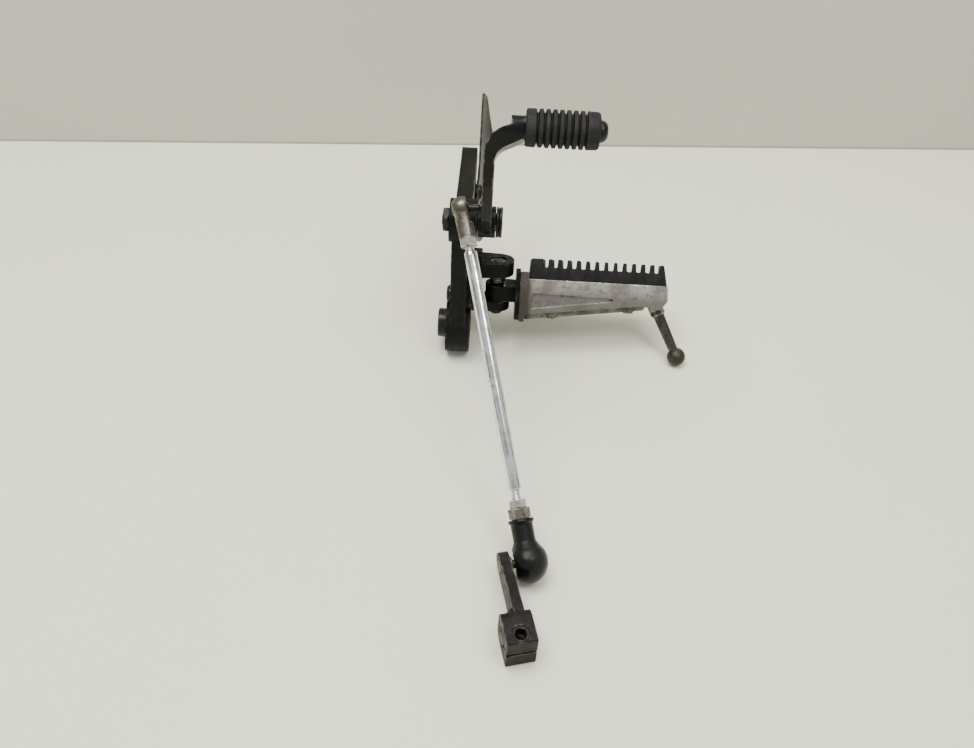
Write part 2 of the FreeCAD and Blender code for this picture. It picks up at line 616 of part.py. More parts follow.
def make_heel_guard():
    """A flat sheet whose rear half flares outward, trimmed to its side outline."""
    body = new_body("heel_guard")
    strip = sketch(body, "XY", "guard_bottom")
    rise = "(guard_rear + 10 - guard_flare_r)"
    outline(strip, [
        ("guard_inner", "guard_front - 10"),
        ("guard_inner", "guard_flare_r", "guard_flare"),
        ("guard_inner + %s * tan(guard_flare_angle)" % rise, "guard_rear + 10"),
        ("guard_inner + %s * tan(guard_flare_angle) + guard_thickness * cos(guard_flare_angle)" % rise,
         "guard_rear + 10 - guard_thickness * sin(guard_flare_angle)"),
        ("guard_inner + guard_thickness",
         "guard_flare_r - guard_thickness * tan(guard_flare_angle / 2)", "guard_flare - guard_thickness"),
        ("guard_inner + guard_thickness", "guard_front - 10"),
    ])
    pad(body, strip, "guard_top - guard_bottom")
    trim = sketch(body, "YZ", "guard_inner")
    outline(trim, [("-60", "0"), ("120", "0"), ("120", "220"), ("-60", "220")])
    outline(trim, [
        ("guard_front", "guard_bottom", "7"),
        ("guard_rear - 16", "guard_bottom", "14"),
        ("guard_rear", "guard_bottom + 24", "12"),
        ("guard_rear", "guard_top - 34", "16"),
        ("upper_r + 32", "guard_top", "8"),
        ("upper_r + 14", "guard_top", "6"),
        ("upper_r + 14", "upper_u + 2", "10"),
        ("guard_screw_r", "upper_u - 12", "3"),
        ("guard_front", "guard_high_u + 8", "6"),
    ])
    pocket(body, trim, "2 * guard_rear", middle=True)
    for spot in guard_holes:
        hole = sketch(body, "YZ", "guard_inner")
        circle(hole, *spot, "guard_screw + side_gap")
        pocket(body, hole, "4 * guard_thickness", middle=True)
    body.Placement = bike


def group(name, shapes):
    """Several loose pieces of one kind kept together in one node."""
    made = doc.addObject("Part::Compound", name)
    made.Links = shapes
    made.Label = name
    for part in shapes:
        part.Visibility = False
    doc.recompute()
    return made


def button_screw(name, frame, radius, length, head_radius, head_height, socket):
    """A round-headed socket screw: the head's seat is at x = 0 and its shank runs to -x."""
    body = new_body(name)
    revolve(body, [
        ("-(%s)" % length, "0"),
        ("-(%s)" % length, "(%s) - 0.5" % radius),
        ("-(%s) + 0.5" % length, radius),
        ("0", radius),
        ("0", head_radius),
        (head_height, head_radius, "(%s) * 0.8" % head_height),
        (head_height, "0"),
    ])
    drive = sketch(body, "YZ", head_height)
    hexagon(drive, socket)
    pocket(body, drive, "(%s) * 0.7" % head_height)
    body.Placement = frame
    return body


def make_guard_screws():
    seat = "guard_inner + guard_thickness"
    screws = []
    for number, spot in enumerate(guard_holes):
        frame = bike * shift(seat, *spot)
        screws.append(button_screw("heel_guard_screw_%d" % number, frame, "guard_screw",
                                   "guard_thickness + 7", "5.4", "2.9", "1.9"))
    group("heel_guard_screws", screws)


# ---- lever pivot --------------------------------------------------------------------------

def make_pivot():
    """The shouldered pin that the lever turns on, its washer under the head and its nut inboard."""
    at_pivot = bike * shift(0, *pivot_at)
    turned("lever_pivot_pin", [
        ("nut_inner - 0.6", "0"),
        ("nut_inner - 0.6", "pivot_thread - 0.6"),
        ("nut_inner", "pivot_thread"),
        ("pivot_inner", "pivot_thread"),
        ("pivot_inner", "shoulder_radius"),
        ("head_inner", "shoulder_radius"),
        ("head_inner", "disc_radius - 0.9"),
        ("head_inner + 0.9", "disc_radius"),
        ("head_inner + head_thickness - 0.7", "disc_radius"),
        ("head_inner + head_thickness", "disc_radius - 0.7"),
        ("head_inner + head_thickness", "0"),
    ], at_pivot)
    turned("lever_pivot_washer", [
        ("washer_inner", "shoulder_radius + hinge_gap"),
        ("washer_inner", "disc_radius - 0.5"),
        ("washer_inner + 0.5", "disc_radius"),
        ("head_inner - 0.5", "disc_radius"),
        ("head_inner", "disc_radius - 0.5"),
        ("head_inner", "shoulder_radius + hinge_gap"),
    ], at_pivot)
    nut("lever_pivot_nut", at_pivot * shift("nut_inner", 0, 0), "pivot_nut_flat", "pivot_nut_height",
        "pivot_thread")


def nut(name, frame, half_flat, height, bore):
    """A hexagon nut with bevelled corners, running from x = 0 to its height."""
    body = new_body(name)
    blank = sketch(body, "YZ", "0")
    hexagon(blank, half_flat)
    pad(body, blank, height)
    hole = sketch(body, "YZ", "0")
    circle(hole, "0", "0", bore)
    pocket(body, hole, "2 * (%s)" % height, middle=True)
    for start, inward in (("0", 1), (height, -1)):
        revolve(body, [
            (start, half_flat + " * 0.96"),
            ("%s + %d * 0.35 * (%s)" % (start, inward, half_flat), half_flat + " * 1.3"),
            (start, half_flat + " * 1.3"),
        ], "Groove")
    body.Placement = frame
    return body


# ---- shift lever --------------------------------------------------------------------------

stud_at = ("stud_r", "stud_u")
elbow_at = ("elbow_r", "elbow_u")
toe_at = ("toe_r", "toe_u")


def make_lever():
    """The lever's side outline in full depth, cut down to a flat bar that bends outward."""
    body = new_body("shift_lever")
    bars = [
        (mount_at, "lever_boss - 1", stud_at, "stud_eye"),
        (stud_at, "stud_eye", elbow_at, "elbow_radius"),
        (elbow_at, "elbow_radius", toe_at, "toe_boss + 0.6"),
    ]
    for start, start_radius, end, end_radius in bars:
        bar = sketch(body, "YZ", "lever_arm_inner")
        link(bar, (*start, start_radius), (*end, end_radius))
        pad(body, bar, "toe_end - lever_arm_inner")
    reach = "(toe_end + 10 - lever_arm_outer)"
    outside = sketch(body, "XZ")
    outline(outside, [
        ("lever_arm_outer", "-60"),
        ("toe_end + 10", "-60"),
        ("toe_end + 10", "bend_outer_u + %s / tan(bend_angle)" % reach),
        ("lever_arm_outer", "bend_outer_u", "9"),
    ])
    pocket(body, outside, "600", middle=True)
    inside = sketch(body, "XZ")
    outline(inside, [
        ("lever_arm_inner - 10", "bend_inner_u - 60"),
        ("lever_arm_inner", "bend_inner_u - 60"),
        ("lever_arm_inner", "bend_inner_u", "15"),
        ("toe_end + 10", "bend_inner_u + (toe_end + 10 - lever_arm_inner) / tan(bend_angle)"),
        ("toe_end + 10", "bend_inner_u + 60"),
        ("lever_arm_inner - 10", "bend_inner_u + 60"),
    ])
    pocket(body, inside, "600", middle=True)
    for spot, radius, inner, outer in ((mount_at, "lever_boss", "lever_inner", "lever_outer"),
                                       (toe_at, "toe_boss", "toe_boss_inner", "toe_end")):
        boss = sketch(body, "YZ", inner)
        circle(boss, *spot, radius)
        pad(body, boss, "%s - %s" % (outer, inner))
    for spot, radius in ((mount_at, "lever_bore"), (stud_at, "stud_thread")):
        hole = sketch(body, "YZ", "0")
        circle(hole, *spot, radius)
        pocket(body, hole, "4 * lever_outer", middle=True)
    tapped = sketch(body, "YZ", "toe_end")
    circle(tapped, *toe_at, "toe_thread")
    pocket(body, tapped, "toe_boss_length + 4")
    for start, backward in (("lever_inner", True), ("lever_outer", False)):
        groove = sketch(body, "YZ", start)
        circle(groove, *mount_at, "lever_bore + bush_thickness")
        pocket(body, groove, "seal_length", backward=backward)
    body.Placement = lever_frame


def make_lever_fittings():
    """The lever's bush and its two end seals."""
    turned("lever_bush", [
        ("lever_inner + seal_length", "shoulder_radius + hinge_gap"),
        ("lever_inner + seal_length", "lever_bore"),
        ("lever_outer - seal_length", "lever_bore"),
        ("lever_outer - seal_length", "shoulder_radius + hinge_gap"),
    ], lever_frame)
    seals = []
    for number, start in enumerate(("lever_inner", "lever_outer - seal_length")):
        seals.append(turned("lever_seal_%d" % number, [
            (start, "shoulder_radius + hinge_gap"),
            (start, "lever_bore + bush_thickness"),
            (start + " + seal_length", "lever_bore + bush_thickness"),
            (start + " + seal_length", "shoulder_radius + hinge_gap"),
        ], lever_frame))
    group("lever_seals", seals)


def make_toe_peg():
    """The grooved toe rubber on its domed pin."""
    at_toe = lever_frame * shift(0, *toe_at)
    count = 8
    pitch = "((toe_rubber_length - toe_first_rib - toe_last_rib - toe_groove_width) / %d)" % (count - 1)
    profile = [("toe_end", "toe_pin_radius"), ("toe_end", "toe_rubber_radius", "0.8")]
    for groove in range(count):
        mouth = "toe_end + toe_first_rib + %d * %s" % (groove, pitch)
        profile += [
            (mouth, "toe_rubber_radius"),
            (mouth + " + toe_groove_width * 0.3", "toe_rubber_radius - toe_groove_depth"),
            (mouth + " + toe_groove_width * 0.7", "toe_rubber_radius - toe_groove_depth"),
            (mouth + " + toe_groove_width", "toe_rubber_radius"),
        ]
    profile += [("toe_tip", "toe_rubber_radius - 0.5", "1.6"), ("toe_tip", "toe_pin_radius")]
    turned("toe_rubber", profile, at_toe)
    turned("toe_pin", [
        ("toe_end - toe_boss_length", "0"),
        ("toe_end - toe_boss_length", "toe_thread"),
        ("toe_end", "toe_thread"),
        ("toe_end", "toe_pin_radius"),
        ("toe_tip", "toe_pin_radius"),
        ("toe_tip", "dome_radius", "0.4"),
        ("toe_tip + dome_height", "dome_radius", "dome_height - 0.7"),
        ("toe_tip + dome_height", "0"),
    ], at_toe)


# ---- ball joints and link rod -------------------------------------------------------------

def ball_stud(name, frame, shoulder, end):
    """A ball stud along x, ball at the frame's origin: neck, hexagon collar, then thread."""
    along_axis(name, frame, [
        ("Sphere", "0", None, "ball_radius"),
        ("Cylinder", "0", shoulder + " - 2.2", "stud_neck"),
        ("Cone", shoulder + " - 2.2", shoulder + " - 1.4", "stud_neck", "stud_thread + 1.9"),
        ("Cylinder", shoulder + " - 1.4", shoulder, "stud_thread + 1.9"),
        ("Cylinder", shoulder, end, "stud_thread"),
    ])


def make_ball_studs():
    at_ball = lever_frame * shift("ball_x", *stud_at)
    ball_stud("upper_ball_stud", at_ball, "(lever_arm_inner - ball_x)", "(lever_arm_outer - ball_x - 0.3)")
    flip = turn(V(0, 0, 1), 180)
    ball_stud("lower_ball_stud", arm_frame * flip, "arm_offset", "(arm_offset + arm_thickness + 0.3)")


def rod_end(name, frame, opens, length, flats=()):
    """A rod end round its ball: a cup that opens along +z or -z, and a shank along x with its flats."""
    seat = doc.addObject("Part::Sphere", name + "_ball_space")
    bind(seat, Radius="cup_radius")
    head = doc.addObject("Part::Sphere", name + "_head")
    bind(head, Radius="housing_radius")
    shank = [rod_piece("Cone", name, "0", length, "housing_radius * 0.8", "shank_radius")]
    shank += [rod_piece("Prism", name, start, length, half_width) for start, half_width in flats]
    mouth = doc.addObject("Part::Cylinder", name + "_mouth")
    bind(mouth, Radius="housing_radius + 4", Height="housing_radius")
    mouth.Placement = turn(V(1, 0, 0), 0 if opens > 0 else 180) * shift(0, 0, "cup_radius * 0.55")
    back = doc.addObject("Part::Cylinder", name + "_back")
    bind(back, Radius="housing_radius + 4", Height="housing_radius")
    back.Placement = turn(V(1, 0, 0), 180 if opens > 0 else 0) * shift(0, 0, "cup_radius + seat_wall")
    thread = rod_piece("Cylinder", name + "_thread", "cup_radius + housing_wall", length + " + 1",
                       "rod_thread")
    whole = combine("MultiFuse", name + "_whole", [head] + shank)
    made = combine("Cut", name, [whole, combine("MultiFuse", name + "_space", [seat, mouth, back, thread])])
    made.Label = name
    made.Placement = frame
    doc.recompute()


def ball_seat(name, frame, opens):
    """The plastic seat between a ball and its cup, cut open on the stud's side."""
    outer = doc.addObject("Part::Sphere", name + "_outer")
    bind(outer, Radius="cup_radius")
    inner = doc.addObject("Part::Sphere", name + "_inner")
    bind(inner, Radius="seat_radius")
    mouth = doc.addObject("Part::Cylinder", name + "_mouth")
    bind(mouth, Radius="housing_radius", Height="housing_radius")
    mouth.Placement = turn(V(1, 0, 0), 0 if opens > 0 else 180) * shift(0, 0, "cup_radius * 0.5")
    made = combine("Cut", name, [outer, combine("MultiFuse", name + "_space", [inner, mouth])])
    made.Label = name
    made.Placement = frame
    doc.recompute()


def make_link():
    lower_frame = rod_frame * shift("rod_length", 0, 0) * turn(V(0, 0, 1), 180)
    rod_end("upper_rod_end", rod_frame, 1, "shank_length")
    rod_end("lower_rod_end", lower_frame, -1, "lower_shank", [("boot_length + side_gap", "end_flat")])
    ball_seat("upper_ball_seat", rod_frame, 1)
    ball_seat("lower_ball_seat", lower_frame, -1)
    nut("upper_jam_nut", rod_frame * shift("shank_length", 0, 0), "jam_flat", "jam_height", "rod_thread")
    nut("lower_jam_nut", lower_frame * shift("lower_shank", 0, 0), "jam_flat", "jam_height", "rod_thread")
    top = "shank_length + jam_height + upper_thread_gap"
    foot = "rod_length - lower_shank - jam_height - lower_thread_gap"
    turned("link_rod", [
        ("shank_length - 9", "0"),
        ("shank_length - 9", "rod_thread"),
        (top, "rod_thread"),
        (top + " + 0.5", "rod_radius"),
        (foot + " - 0.5", "rod_radius"),
        (foot, "rod_thread"),
        ("rod_length - lower_shank + 9", "rod_thread"),
        ("rod_length - lower_shank + 9", "0"),
    ], rod_frame)
    make_boot(lower_frame)


def make_boot(frame):
    """The rubber boot over the lower rod end, open at its neck and round the ball stud."""
    keep = [
        ("Sphere", "0", None, "boot_radius"),
        ("Cylinder", "0", "boot_length", "boot_neck"),
        ("Cylinder", "boot_length - 1.6", "boot_length", "boot_lip"),
    ]
    cut = [
        ("Sphere", "0", None, "boot_radius - boot_wall"),
        ("Cone", "0", "lower_shank", "housing_radius * 0.8 + 0.15", "shank_radius + 0.15"),
    ]
    solid = combine("MultiFuse", "lower_boot_whole", [rod_piece(kind, "boot", *sizes) for kind, *sizes in keep])
    hollow = [rod_piece(kind, "boot_space", *sizes) for kind, *sizes in cut]
    mouth = doc.addObject("Part::Cylinder", "lower_boot_mouth")
    bind(mouth, Radius="boot_radius * 0.72", Height="boot_radius")
    mouth.Placement = turn(V(1, 0, 0), 180) * shift(0, 0, "boot_radius * 0.62")
    made = combine("Cut", "lower_boot", [solid, combine("MultiFuse", "lower_boot_space", hollow + [mouth])])
    made.Label = "lower_boot"
    made.Placement = frame
    doc.recompute()


# ---- shift arm ----------------------------------------------------------------------------

def make_shift_arm():
    """The flat arm, from the lower ball stud to a split clamp for the gear shaft."""
    body = new_body("shift_arm")
    at_shaft = ("-arm_length", "0")
    flat = sketch(body, "YZ", "-arm_offset - arm_thickness")
    link(flat, (*mount_at, "arm_eye"), (*at_shaft, "clamp_height / 2 - 1.5"))
    pad(body, flat, "arm_thickness")
    block = sketch(body, "YZ", "clamp_centre - clamp_width / 2")
    outline(block, [
        ("-arm_length - clamp_front", "-clamp_height / 2", "1.2"),
        ("-arm_length + clamp_back", "-clamp_height / 2", "6"),
        ("-arm_length + clamp_back", "clamp_height / 2", "6"),
        ("-arm_length - clamp_front", "clamp_height / 2", "1.2"),
    ])
    pad(body, block, "clamp_width")
    web = sketch(body, "XY")
    outline(web, [
        ("arm_middle", "-arm_length + clamp_back + 1.2 * clamp_flare"),
        ("-arm_offset - arm_thickness - clamp_flare", "-arm_length + clamp_back"),
        ("-arm_offset - arm_thickness - clamp_flare", "-arm_length + clamp_back - 1"),
        ("-arm_offset + 0.3 * clamp_flare", "-arm_length + clamp_back - 1"),
        ("-arm_offset + 0.3 * clamp_flare", "-arm_length + clamp_back"),
    ])
    pad(body, web, "clamp_height - 12", middle=True)
    bore = sketch(body, "YZ", "clamp_centre")
    circle(bore, *at_shaft, "shaft_bore")
    pocket(body, bore, "2 * clamp_width", middle=True)
    slit = sketch(body, "YZ", "clamp_centre")
    outline(slit, [
        ("-arm_length - clamp_front - 1", "-slit_width / 2"),
        ("-arm_length", "-slit_width / 2"),
        ("-arm_length", "slit_width / 2"),
        ("-arm_length - clamp_front - 1", "slit_width / 2"),
    ])
    pocket(body, slit, "2 * clamp_width", middle=True)
    pinch = sketch(body, "XY", "clamp_height / 2")
    circle(pinch, "clamp_centre", "-arm_length - pinch_offset", "pinch_radius")
    pocket(body, pinch, "2 * clamp_height")
    face = sketch(body, "XY", "clamp_height / 2")
    circle(face, "clamp_centre", "-arm_length - pinch_offset", "spot_face")
    pocket(body, face, "0.5")
    eye = sketch(body, "YZ", "arm_middle")
    circle(eye, *mount_at, "stud_thread")
    pocket(body, eye, "3 * arm_thickness", middle=True)
    body.Placement = arm_frame


# ---- peg holder and hinge -----------------------------------------------------------------

def make_peg_holder():
    """The clevis: a foot on the bracket, a wall, and two raked ears for the hinge pin."""
    body = new_body("peg_holder")
    foot_start = "holder_face - pin_x"
    wall_end = "(holder_face - pin_x + foot_thickness)"
    foot = sketch(body, "YZ", foot_start)
    link(foot, ("-holder_bolt_r", "front_bolt_u", "holder_lug"), ("holder_bolt_r", "rear_bolt_u", "holder_lug"))
    pad(body, foot, "foot_thickness")
    wall = sketch(body, "YZ", foot_start)
    outline(wall, [
        ("-upper_ear_radius - 1", "ear_bottom - 1", "6"),
        ("upper_ear_radius + 1", "ear_bottom + 1", "6"),
        ("upper_ear_radius - 1", "ear_top + 7", "5"),
        ("-upper_ear_radius - 3", "ear_top + 2", "5"),
    ])
    pad(body, wall, "foot_thickness - 0.6")
    for radius, low, high in (("upper_ear_radius", "ear_upper", "ear_top"),
                              ("lower_ear_radius", "ear_bottom", "ear_lower")):
        ear = sketch(body, "XY", low, "pin_rake")
        link(ear, ("0", "0", radius), ("foot_thickness + holder_face - pin_x - 1", "0", radius + " + 1"))
        pad(body, ear, "%s - (%s)" % (high, low))
    bore = sketch(body, "XY", "ear_top + 1", "pin_rake")
    circle(bore, "0", "0", "pin_radius + hinge_gap / 2")
    pocket(body, bore, "ear_top - ear_bottom + 12")
    clear = sketch(body, "XY", "ear_top + 12", "pin_rake")
    circle(clear, "0", "0", "pin_radius + 1.9")
    pocket(body, clear, "14.6")
    for spot in (("-holder_bolt_r", "front_bolt_u"), ("holder_bolt_r", "rear_bolt_u")):
        tapped = sketch(body, "YZ", wall_end)
        circle(tapped, *spot, "holder_bolt_radius")
        pocket(body, tapped, "2 * foot_thickness")
    trim = sketch(body, "YZ", foot_start)
    outline(trim, [("-80", "-80"), ("80", "-80"), ("80", "80"), ("-80", "80")])
    cut = feature(body, "Pocket", trim, Length="40")
    body.Placement = peg_frame
    return cut


def make_hinge():
    """The raked hinge pin with its clip and washer, the peg's spring and the holder's bolts."""
    turned("peg_pin", [
        ("ear_bottom - 5", "0"),
        ("ear_bottom - 5", "pin_radius + 1.3", "3.4"),
        ("ear_bottom - 0.3", "pin_radius + 1.3"),
        ("ear_bottom - 0.3", "pin_radius"),
        ("ear_top - 2.2", "pin_radius"),
        ("ear_top - 2.2", "pin_radius - 0.7"),
        ("ear_top - 2.1 + clip_thickness", "pin_radius - 0.7"),
        ("ear_top - 2.1 + clip_thickness", "pin_radius - 0.2"),
        ("ear_top - 0.4", "pin_radius - 0.2", "0.8"),
        ("ear_top - 0.4", "0"),
    ], hinge_frame * along_z)
    turned("peg_pin_clip", [
        ("ear_top - 2.15", "pin_radius - 0.7"),
        ("ear_top - 2.15", "pin_radius + 1.4"),
        ("ear_top - 2.15 + clip_thickness", "pin_radius + 1.4"),
        ("ear_top - 2.15 + clip_thickness", "pin_radius - 0.7"),
    ], hinge_frame * along_z)
    make_spring()
    bolts = []
    for number, spot in enumerate((front_bolt, rear_bolt)):
        frame = bike * shift("plate_inner", *spot) * turn(V(0, 0, 1), 180)
        bolts.append(button_screw("holder_bolt_%d" % number, frame, "holder_bolt_radius",
                                  "holder_face - plate_inner + foot_thickness - 1", "6.4", "3.2", "2.5"))
    group("holder_bolts", bolts)


def make_spring():
    """A torsion spring round the pin between the knuckle and the upper ear, with two legs."""
    wire = value("spring_wire")
    coil = value("pin_radius") + 0.6 + wire / 2
    low = value("knuckle_top") + 0.3 + wire / 2
    high = value("ear_upper") - 0.3 - wire / 2
    pitch = (high - low) / 3.5
    path = Part.makeHelix(pitch, high - low, coil)
    path.translate(V(0, 0, low))
    start = Part.Wire(Part.makeCircle(wire / 2, V(coil, 0, low), V(0, 1, 0)))
    coils = Part.Wire(path).makePipeShell([start], True, True)
    leg = value("knuckle_radius")
    inner_leg = Part.makeCylinder(wire / 2, leg, V(coil, 0, low), V(0, -1, 0))
    outer_leg = Part.makeCylinder(wire / 2, leg, V(-coil, 0, high), V(0, -1, 0))
    spring = doc.addObject("Part::Feature", "peg_spring")
    spring.Label = "peg_spring"
    spring.Shape = coils.fuse([inner_leg, outer_leg])
    spring.Placement = hinge_frame


# ---- foot peg -----------------------------------------------------------------------------

def make_knuckle():
    """The black hinge knuckle: an eye on the pin, a neck, a backing plate and a spigot."""
    body = new_body("peg_knuckle")
    eye = sketch(body, "XY", "knuckle_bottom", "pin_rake")
    link(eye, ("0", "0", "knuckle_radius"), ("plate_start", "0", "knuckle_radius - 1"))
    pad(body, eye, "knuckle_top - (knuckle_bottom)")
    trim = sketch(body, "YZ", "plate_start")
    outline(trim, [("-60", "-60"), ("60", "-60"), ("60", "60"), ("-60", "60")])
    pocket(body, trim, "60", backward=True)
    plate = sketch(body, "YZ", "plate_start")
    outline(plate, [
        ("-peg_half_width + 1", "flange_bottom + 1", "4"),
        ("peg_half_width - 1", "flange_bottom + 1", "4"),
        ("peg_half_width - 1", "flange_top + 2", "4"),
        ("-peg_half_width + 1", "flange_top + 2", "4"),
    ])
    pad(body, plate, "back_plate")
    spigot = sketch(body, "YZ", "peg_start")
    circle(spigot, "0", "-3", "5")
    pad(body, spigot, "flange_thickness + 6")
    bore = sketch(body, "XY", "0", "pin_rake")
    circle(bore, "0", "0", "pin_radius + hinge_gap")
    pocket(body, bore, "80", middle=True)
    body.Placement = peg_frame


def make_peg():
    """The cast peg: root flange, hollow tapering beam with a centre rib, and a solid rounded tip."""
    body = new_body("peg_body")
    beam = sketch(body, "XZ")
    outline(beam, [
        ("peg_start", "flange_bottom", "1.5"),
        ("peg_start", "flange_top", "1"),
        ("rubber_start - 0.4", "flange_top", "1"),
        ("rubber_start - 0.4", "seat_height"),
        ("peg_length", "seat_height", "2"),
        ("peg_length + 1", "-2", "4"),
        ("peg_length - 5", "tip_depth - 5", "3"),
        ("tip_start - 8", "tip_depth - 3", "6"),
        ("peg_start + flange_thickness", "root_depth", "2"),
        ("peg_start + flange_thickness", "flange_bottom", "1.5"),
    ])
    pad(body, beam, "2 * peg_half_width", middle=True)
    plan = sketch(body, "XY", "flange_bottom - 20")
    outline(plan, [
        ("peg_start - 20", "-peg_half_width - 20"),
        ("peg_length + 20", "-peg_half_width - 20"),
        ("peg_length + 20", "peg_half_width + 20"),
        ("peg_start - 20", "peg_half_width + 20"),
    ])
    outline(plan, [
        ("peg_start - 1", "-peg_half_width"),
        ("rubber_start", "-peg_half_width"),
        ("peg_length + 1", "-tip_half_width", "5"),
        ("peg_length + 1", "tip_half_width", "5"),
        ("rubber_start", "peg_half_width"),
        ("peg_start - 1", "peg_half_width"),
    ])
    pocket(body, plan, "100", backward=True)
    for side in (-1, 1):
        hollow = sketch(body, "XY", "flange_bottom - 1")
        inner, outer = "%d * peg_wall * 0.7" % side, "%d * (peg_half_width - peg_wall)" % side
        tip = "%d * (tip_half_width - peg_wall)" % side
        outline(hollow, [
            ("peg_start + flange_thickness", inner, "2"),
            ("tip_start - 6", inner, "2"),
            ("tip_start - 6", tip, "2"),
            ("peg_start + flange_thickness", outer, "2"),
        ])
        pocket(body, hollow, "seat_height - peg_wall - flange_bottom + 1", backward=True)
    rib = sketch(body, "XZ")
    outline(rib, [
        ("peg_start + flange_thickness - 1", "0"),
        ("peg_start + flange_thickness - 1", "root_depth - rib_depth"),
        ("tip_start - 6", "tip_depth - rib_depth - 2"),
        ("tip_start", "0"),
    ])
    pad(body, rib, "1.4 * peg_wall", middle=True)
    for side in (-1, 1):
        recess = sketch(body, "XZ", "%d * (peg_half_width + rubber_start * tan(peg_taper))" % side)
        slant(recess, V(0, side, 0), "peg_taper")
        outline(recess, [
            ("rubber_start + 2.5", "-2", "2"),
            ("tip_start - 18", "-3.4", "1"),
            ("rubber_start + 1.5", "-13.4", "1.5"),
        ])
        pocket(body, recess, "side_recess", backward=side < 0)
    seat = sketch(body, "YZ", "peg_start")
    circle(seat, "0", "-3", "5")
    pocket(body, seat, "flange_thickness + 6", backward=True)
    for spot, bottom in tread_screw_spots:
        boss = sketch(body, "XY", bottom)
        circle(boss, spot, "0", "screw_boss")
        pad(body, boss, "seat_height - 1 - (%s)" % bottom)
        hole = sketch(body, "XY", "seat_height")
        circle(hole, spot, "0", "tread_screw")
        pocket(body, hole, "seat_height - flange_bottom + 5")
        face = sketch(body, "XY", bottom)
        circle(face, spot, "0", "screw_boss - 0.6")
        pocket(body, face, "8")
    for radius, length, make, backward in (("sensor_boss", "8", pad, False),
                                           ("sensor_thread", "8.5", pocket, True),
                                           ("sensor_hex / cos(30) + side_gap", "6", pocket, False)):
        tilted = sketch(body, "XY")
        tilted.setExpression("AttachmentOffset.Base.z", None)
        tilted.AttachmentOffset = sensor_place * turn(V(0, 1, 0), -90)
        circle(tilted, "0", "0", radius)
        make(body, tilted, length, backward=backward)
    body.Placement = peg_frame


tread_screw_spots = (("near_screw", "near_seat"), ("far_screw", "far_seat"))
sensor_place = shift("sensor_x", 0, "sensor_seat") * turn(V(0, 1, 0), 90 - value("sensor_tilt"))


def make_tread():
    """The tread rubber with its row of grooves, the plate moulded under it and its screws."""
    body = new_body("peg_rubber")
    top = "seat_height + rubber_height"
    block = sketch(body, "XZ")
    outline(block, [
        ("rubber_start", "seat_height", "3"),
        ("rubber_start + 1", top, "1.5"),
        ("rubber_start + rubber_length - 3.4", top, "1.2"),
        ("rubber_start + rubber_length", "seat_height", "1.2"),
    ])
    pad(body, block, "2 * peg_half_width + 1", middle=True)
    for number in range(int(value("groove_count"))):
        groove = sketch(body, "XZ")
        slant(groove, V(0, -1, 0), "groove_skew")
        start = "(rubber_start + first_block + %d * groove_pitch) * cos(groove_skew)" % number
        outline(groove, [
            (start, top + " + 1"),
            (start + " + 0.4", top + " - groove_depth", "0.5"),
            (start + " + groove_width - 0.4", top + " - groove_depth", "0.5"),
            (start + " + groove_width", top + " + 1"),
        ])
        pocket(body, groove, "4 * peg_half_width", middle=True)
    plan = sketch(body, "XY", "0")
    outline(plan, [
        ("rubber_start - 20", "-peg_half_width - 20"),
        ("peg_length + 20", "-peg_half_width - 20"),
        ("peg_length + 20", "peg_half_width + 20"),
        ("rubber_start - 20", "peg_half_width + 20"),
    ])
    outline(plan, [
        ("rubber_start - 1", "-peg_half_width + 0.2"),
        ("peg_length - 0.4", "-tip_half_width + 0.2", "4"),
        ("peg_length - 0.4", "tip_half_width - 0.2", "4"),
        ("rubber_start - 1", "peg_half_width - 0.2"),
    ])
    pocket(body, plan, "60", backward=True)
    space = sketch(body, "XY", "seat_height")
    outline(space, tread_plate_corners())
    pocket(body, space, "tread_plate", backward=True)
    body.Placement = peg_frame
    plate = new_body("tread_plate")
    sheet = sketch(plate, "XY", "seat_height")
    outline(sheet, tread_plate_corners())
    pad(plate, sheet, "tread_plate")
    for spot, _ in tread_screw_spots:
        hole = sketch(plate, "XY", "seat_height")
        circle(hole, spot, "0", "tread_screw")
        pocket(plate, hole, "6", middle=True)
    plate.Placement = peg_frame
    screws = []
    for number, (spot, bottom) in enumerate(tread_screw_spots):
        frame = peg_frame * shift(spot, 0, bottom) * turn(V(0, 1, 0), 90)
        screws.append(button_screw("tread_screw_%d" % number, frame, "tread_screw",
                                   "seat_height + tread_plate - (%s)" % bottom, "4.2", "2.6", "1.5"))
    group("tread_screws", screws)


def tread_plate_corners():
    return [
        ("rubber_start + 6", "-tip_half_width + 4", "3"),
        ("peg_length - 12", "-tip_half_width + 4", "3"),
        ("peg_length - 12", "tip_half_width - 4", "3"),
        ("rubber_start + 6", "tip_half_width - 4", "3"),
    ]


def make_bank_sensor():
    """The bank sensor: a thread into the peg's tip, a hexagon, a tapering stem and a ball."""
    along_axis("bank_sensor", peg_frame * sensor_place, [
        ("Cylinder", "-7", "0.5", "sensor_thread"),
        ("Prism", "0", "4.5", "sensor_hex"),
        ("Cone", "4.4", "6.5", "sensor_hex - 0.2", "sensor_stem"),
        ("Cone", "6.4", "sensor_length - sensor_ball * 0.8", "sensor_stem", "sensor_stem - 0.5"),
        ("Sphere", "sensor_length", None, "sensor_ball"),
    ])


# ---- assembly and export ------------------------------------------------------------------

make_bracket()
make_mount_bushes()
make_heel_guard()
make_guard_screws()
make_pivot()
make_lever()
make_lever_fittings()
make_toe_peg()
make_ball_studs()
make_link()
make_shift_arm()
make_peg_holder()
make_hinge()
make_knuckle()
make_peg()
make_tread()
make_bank_sensor()

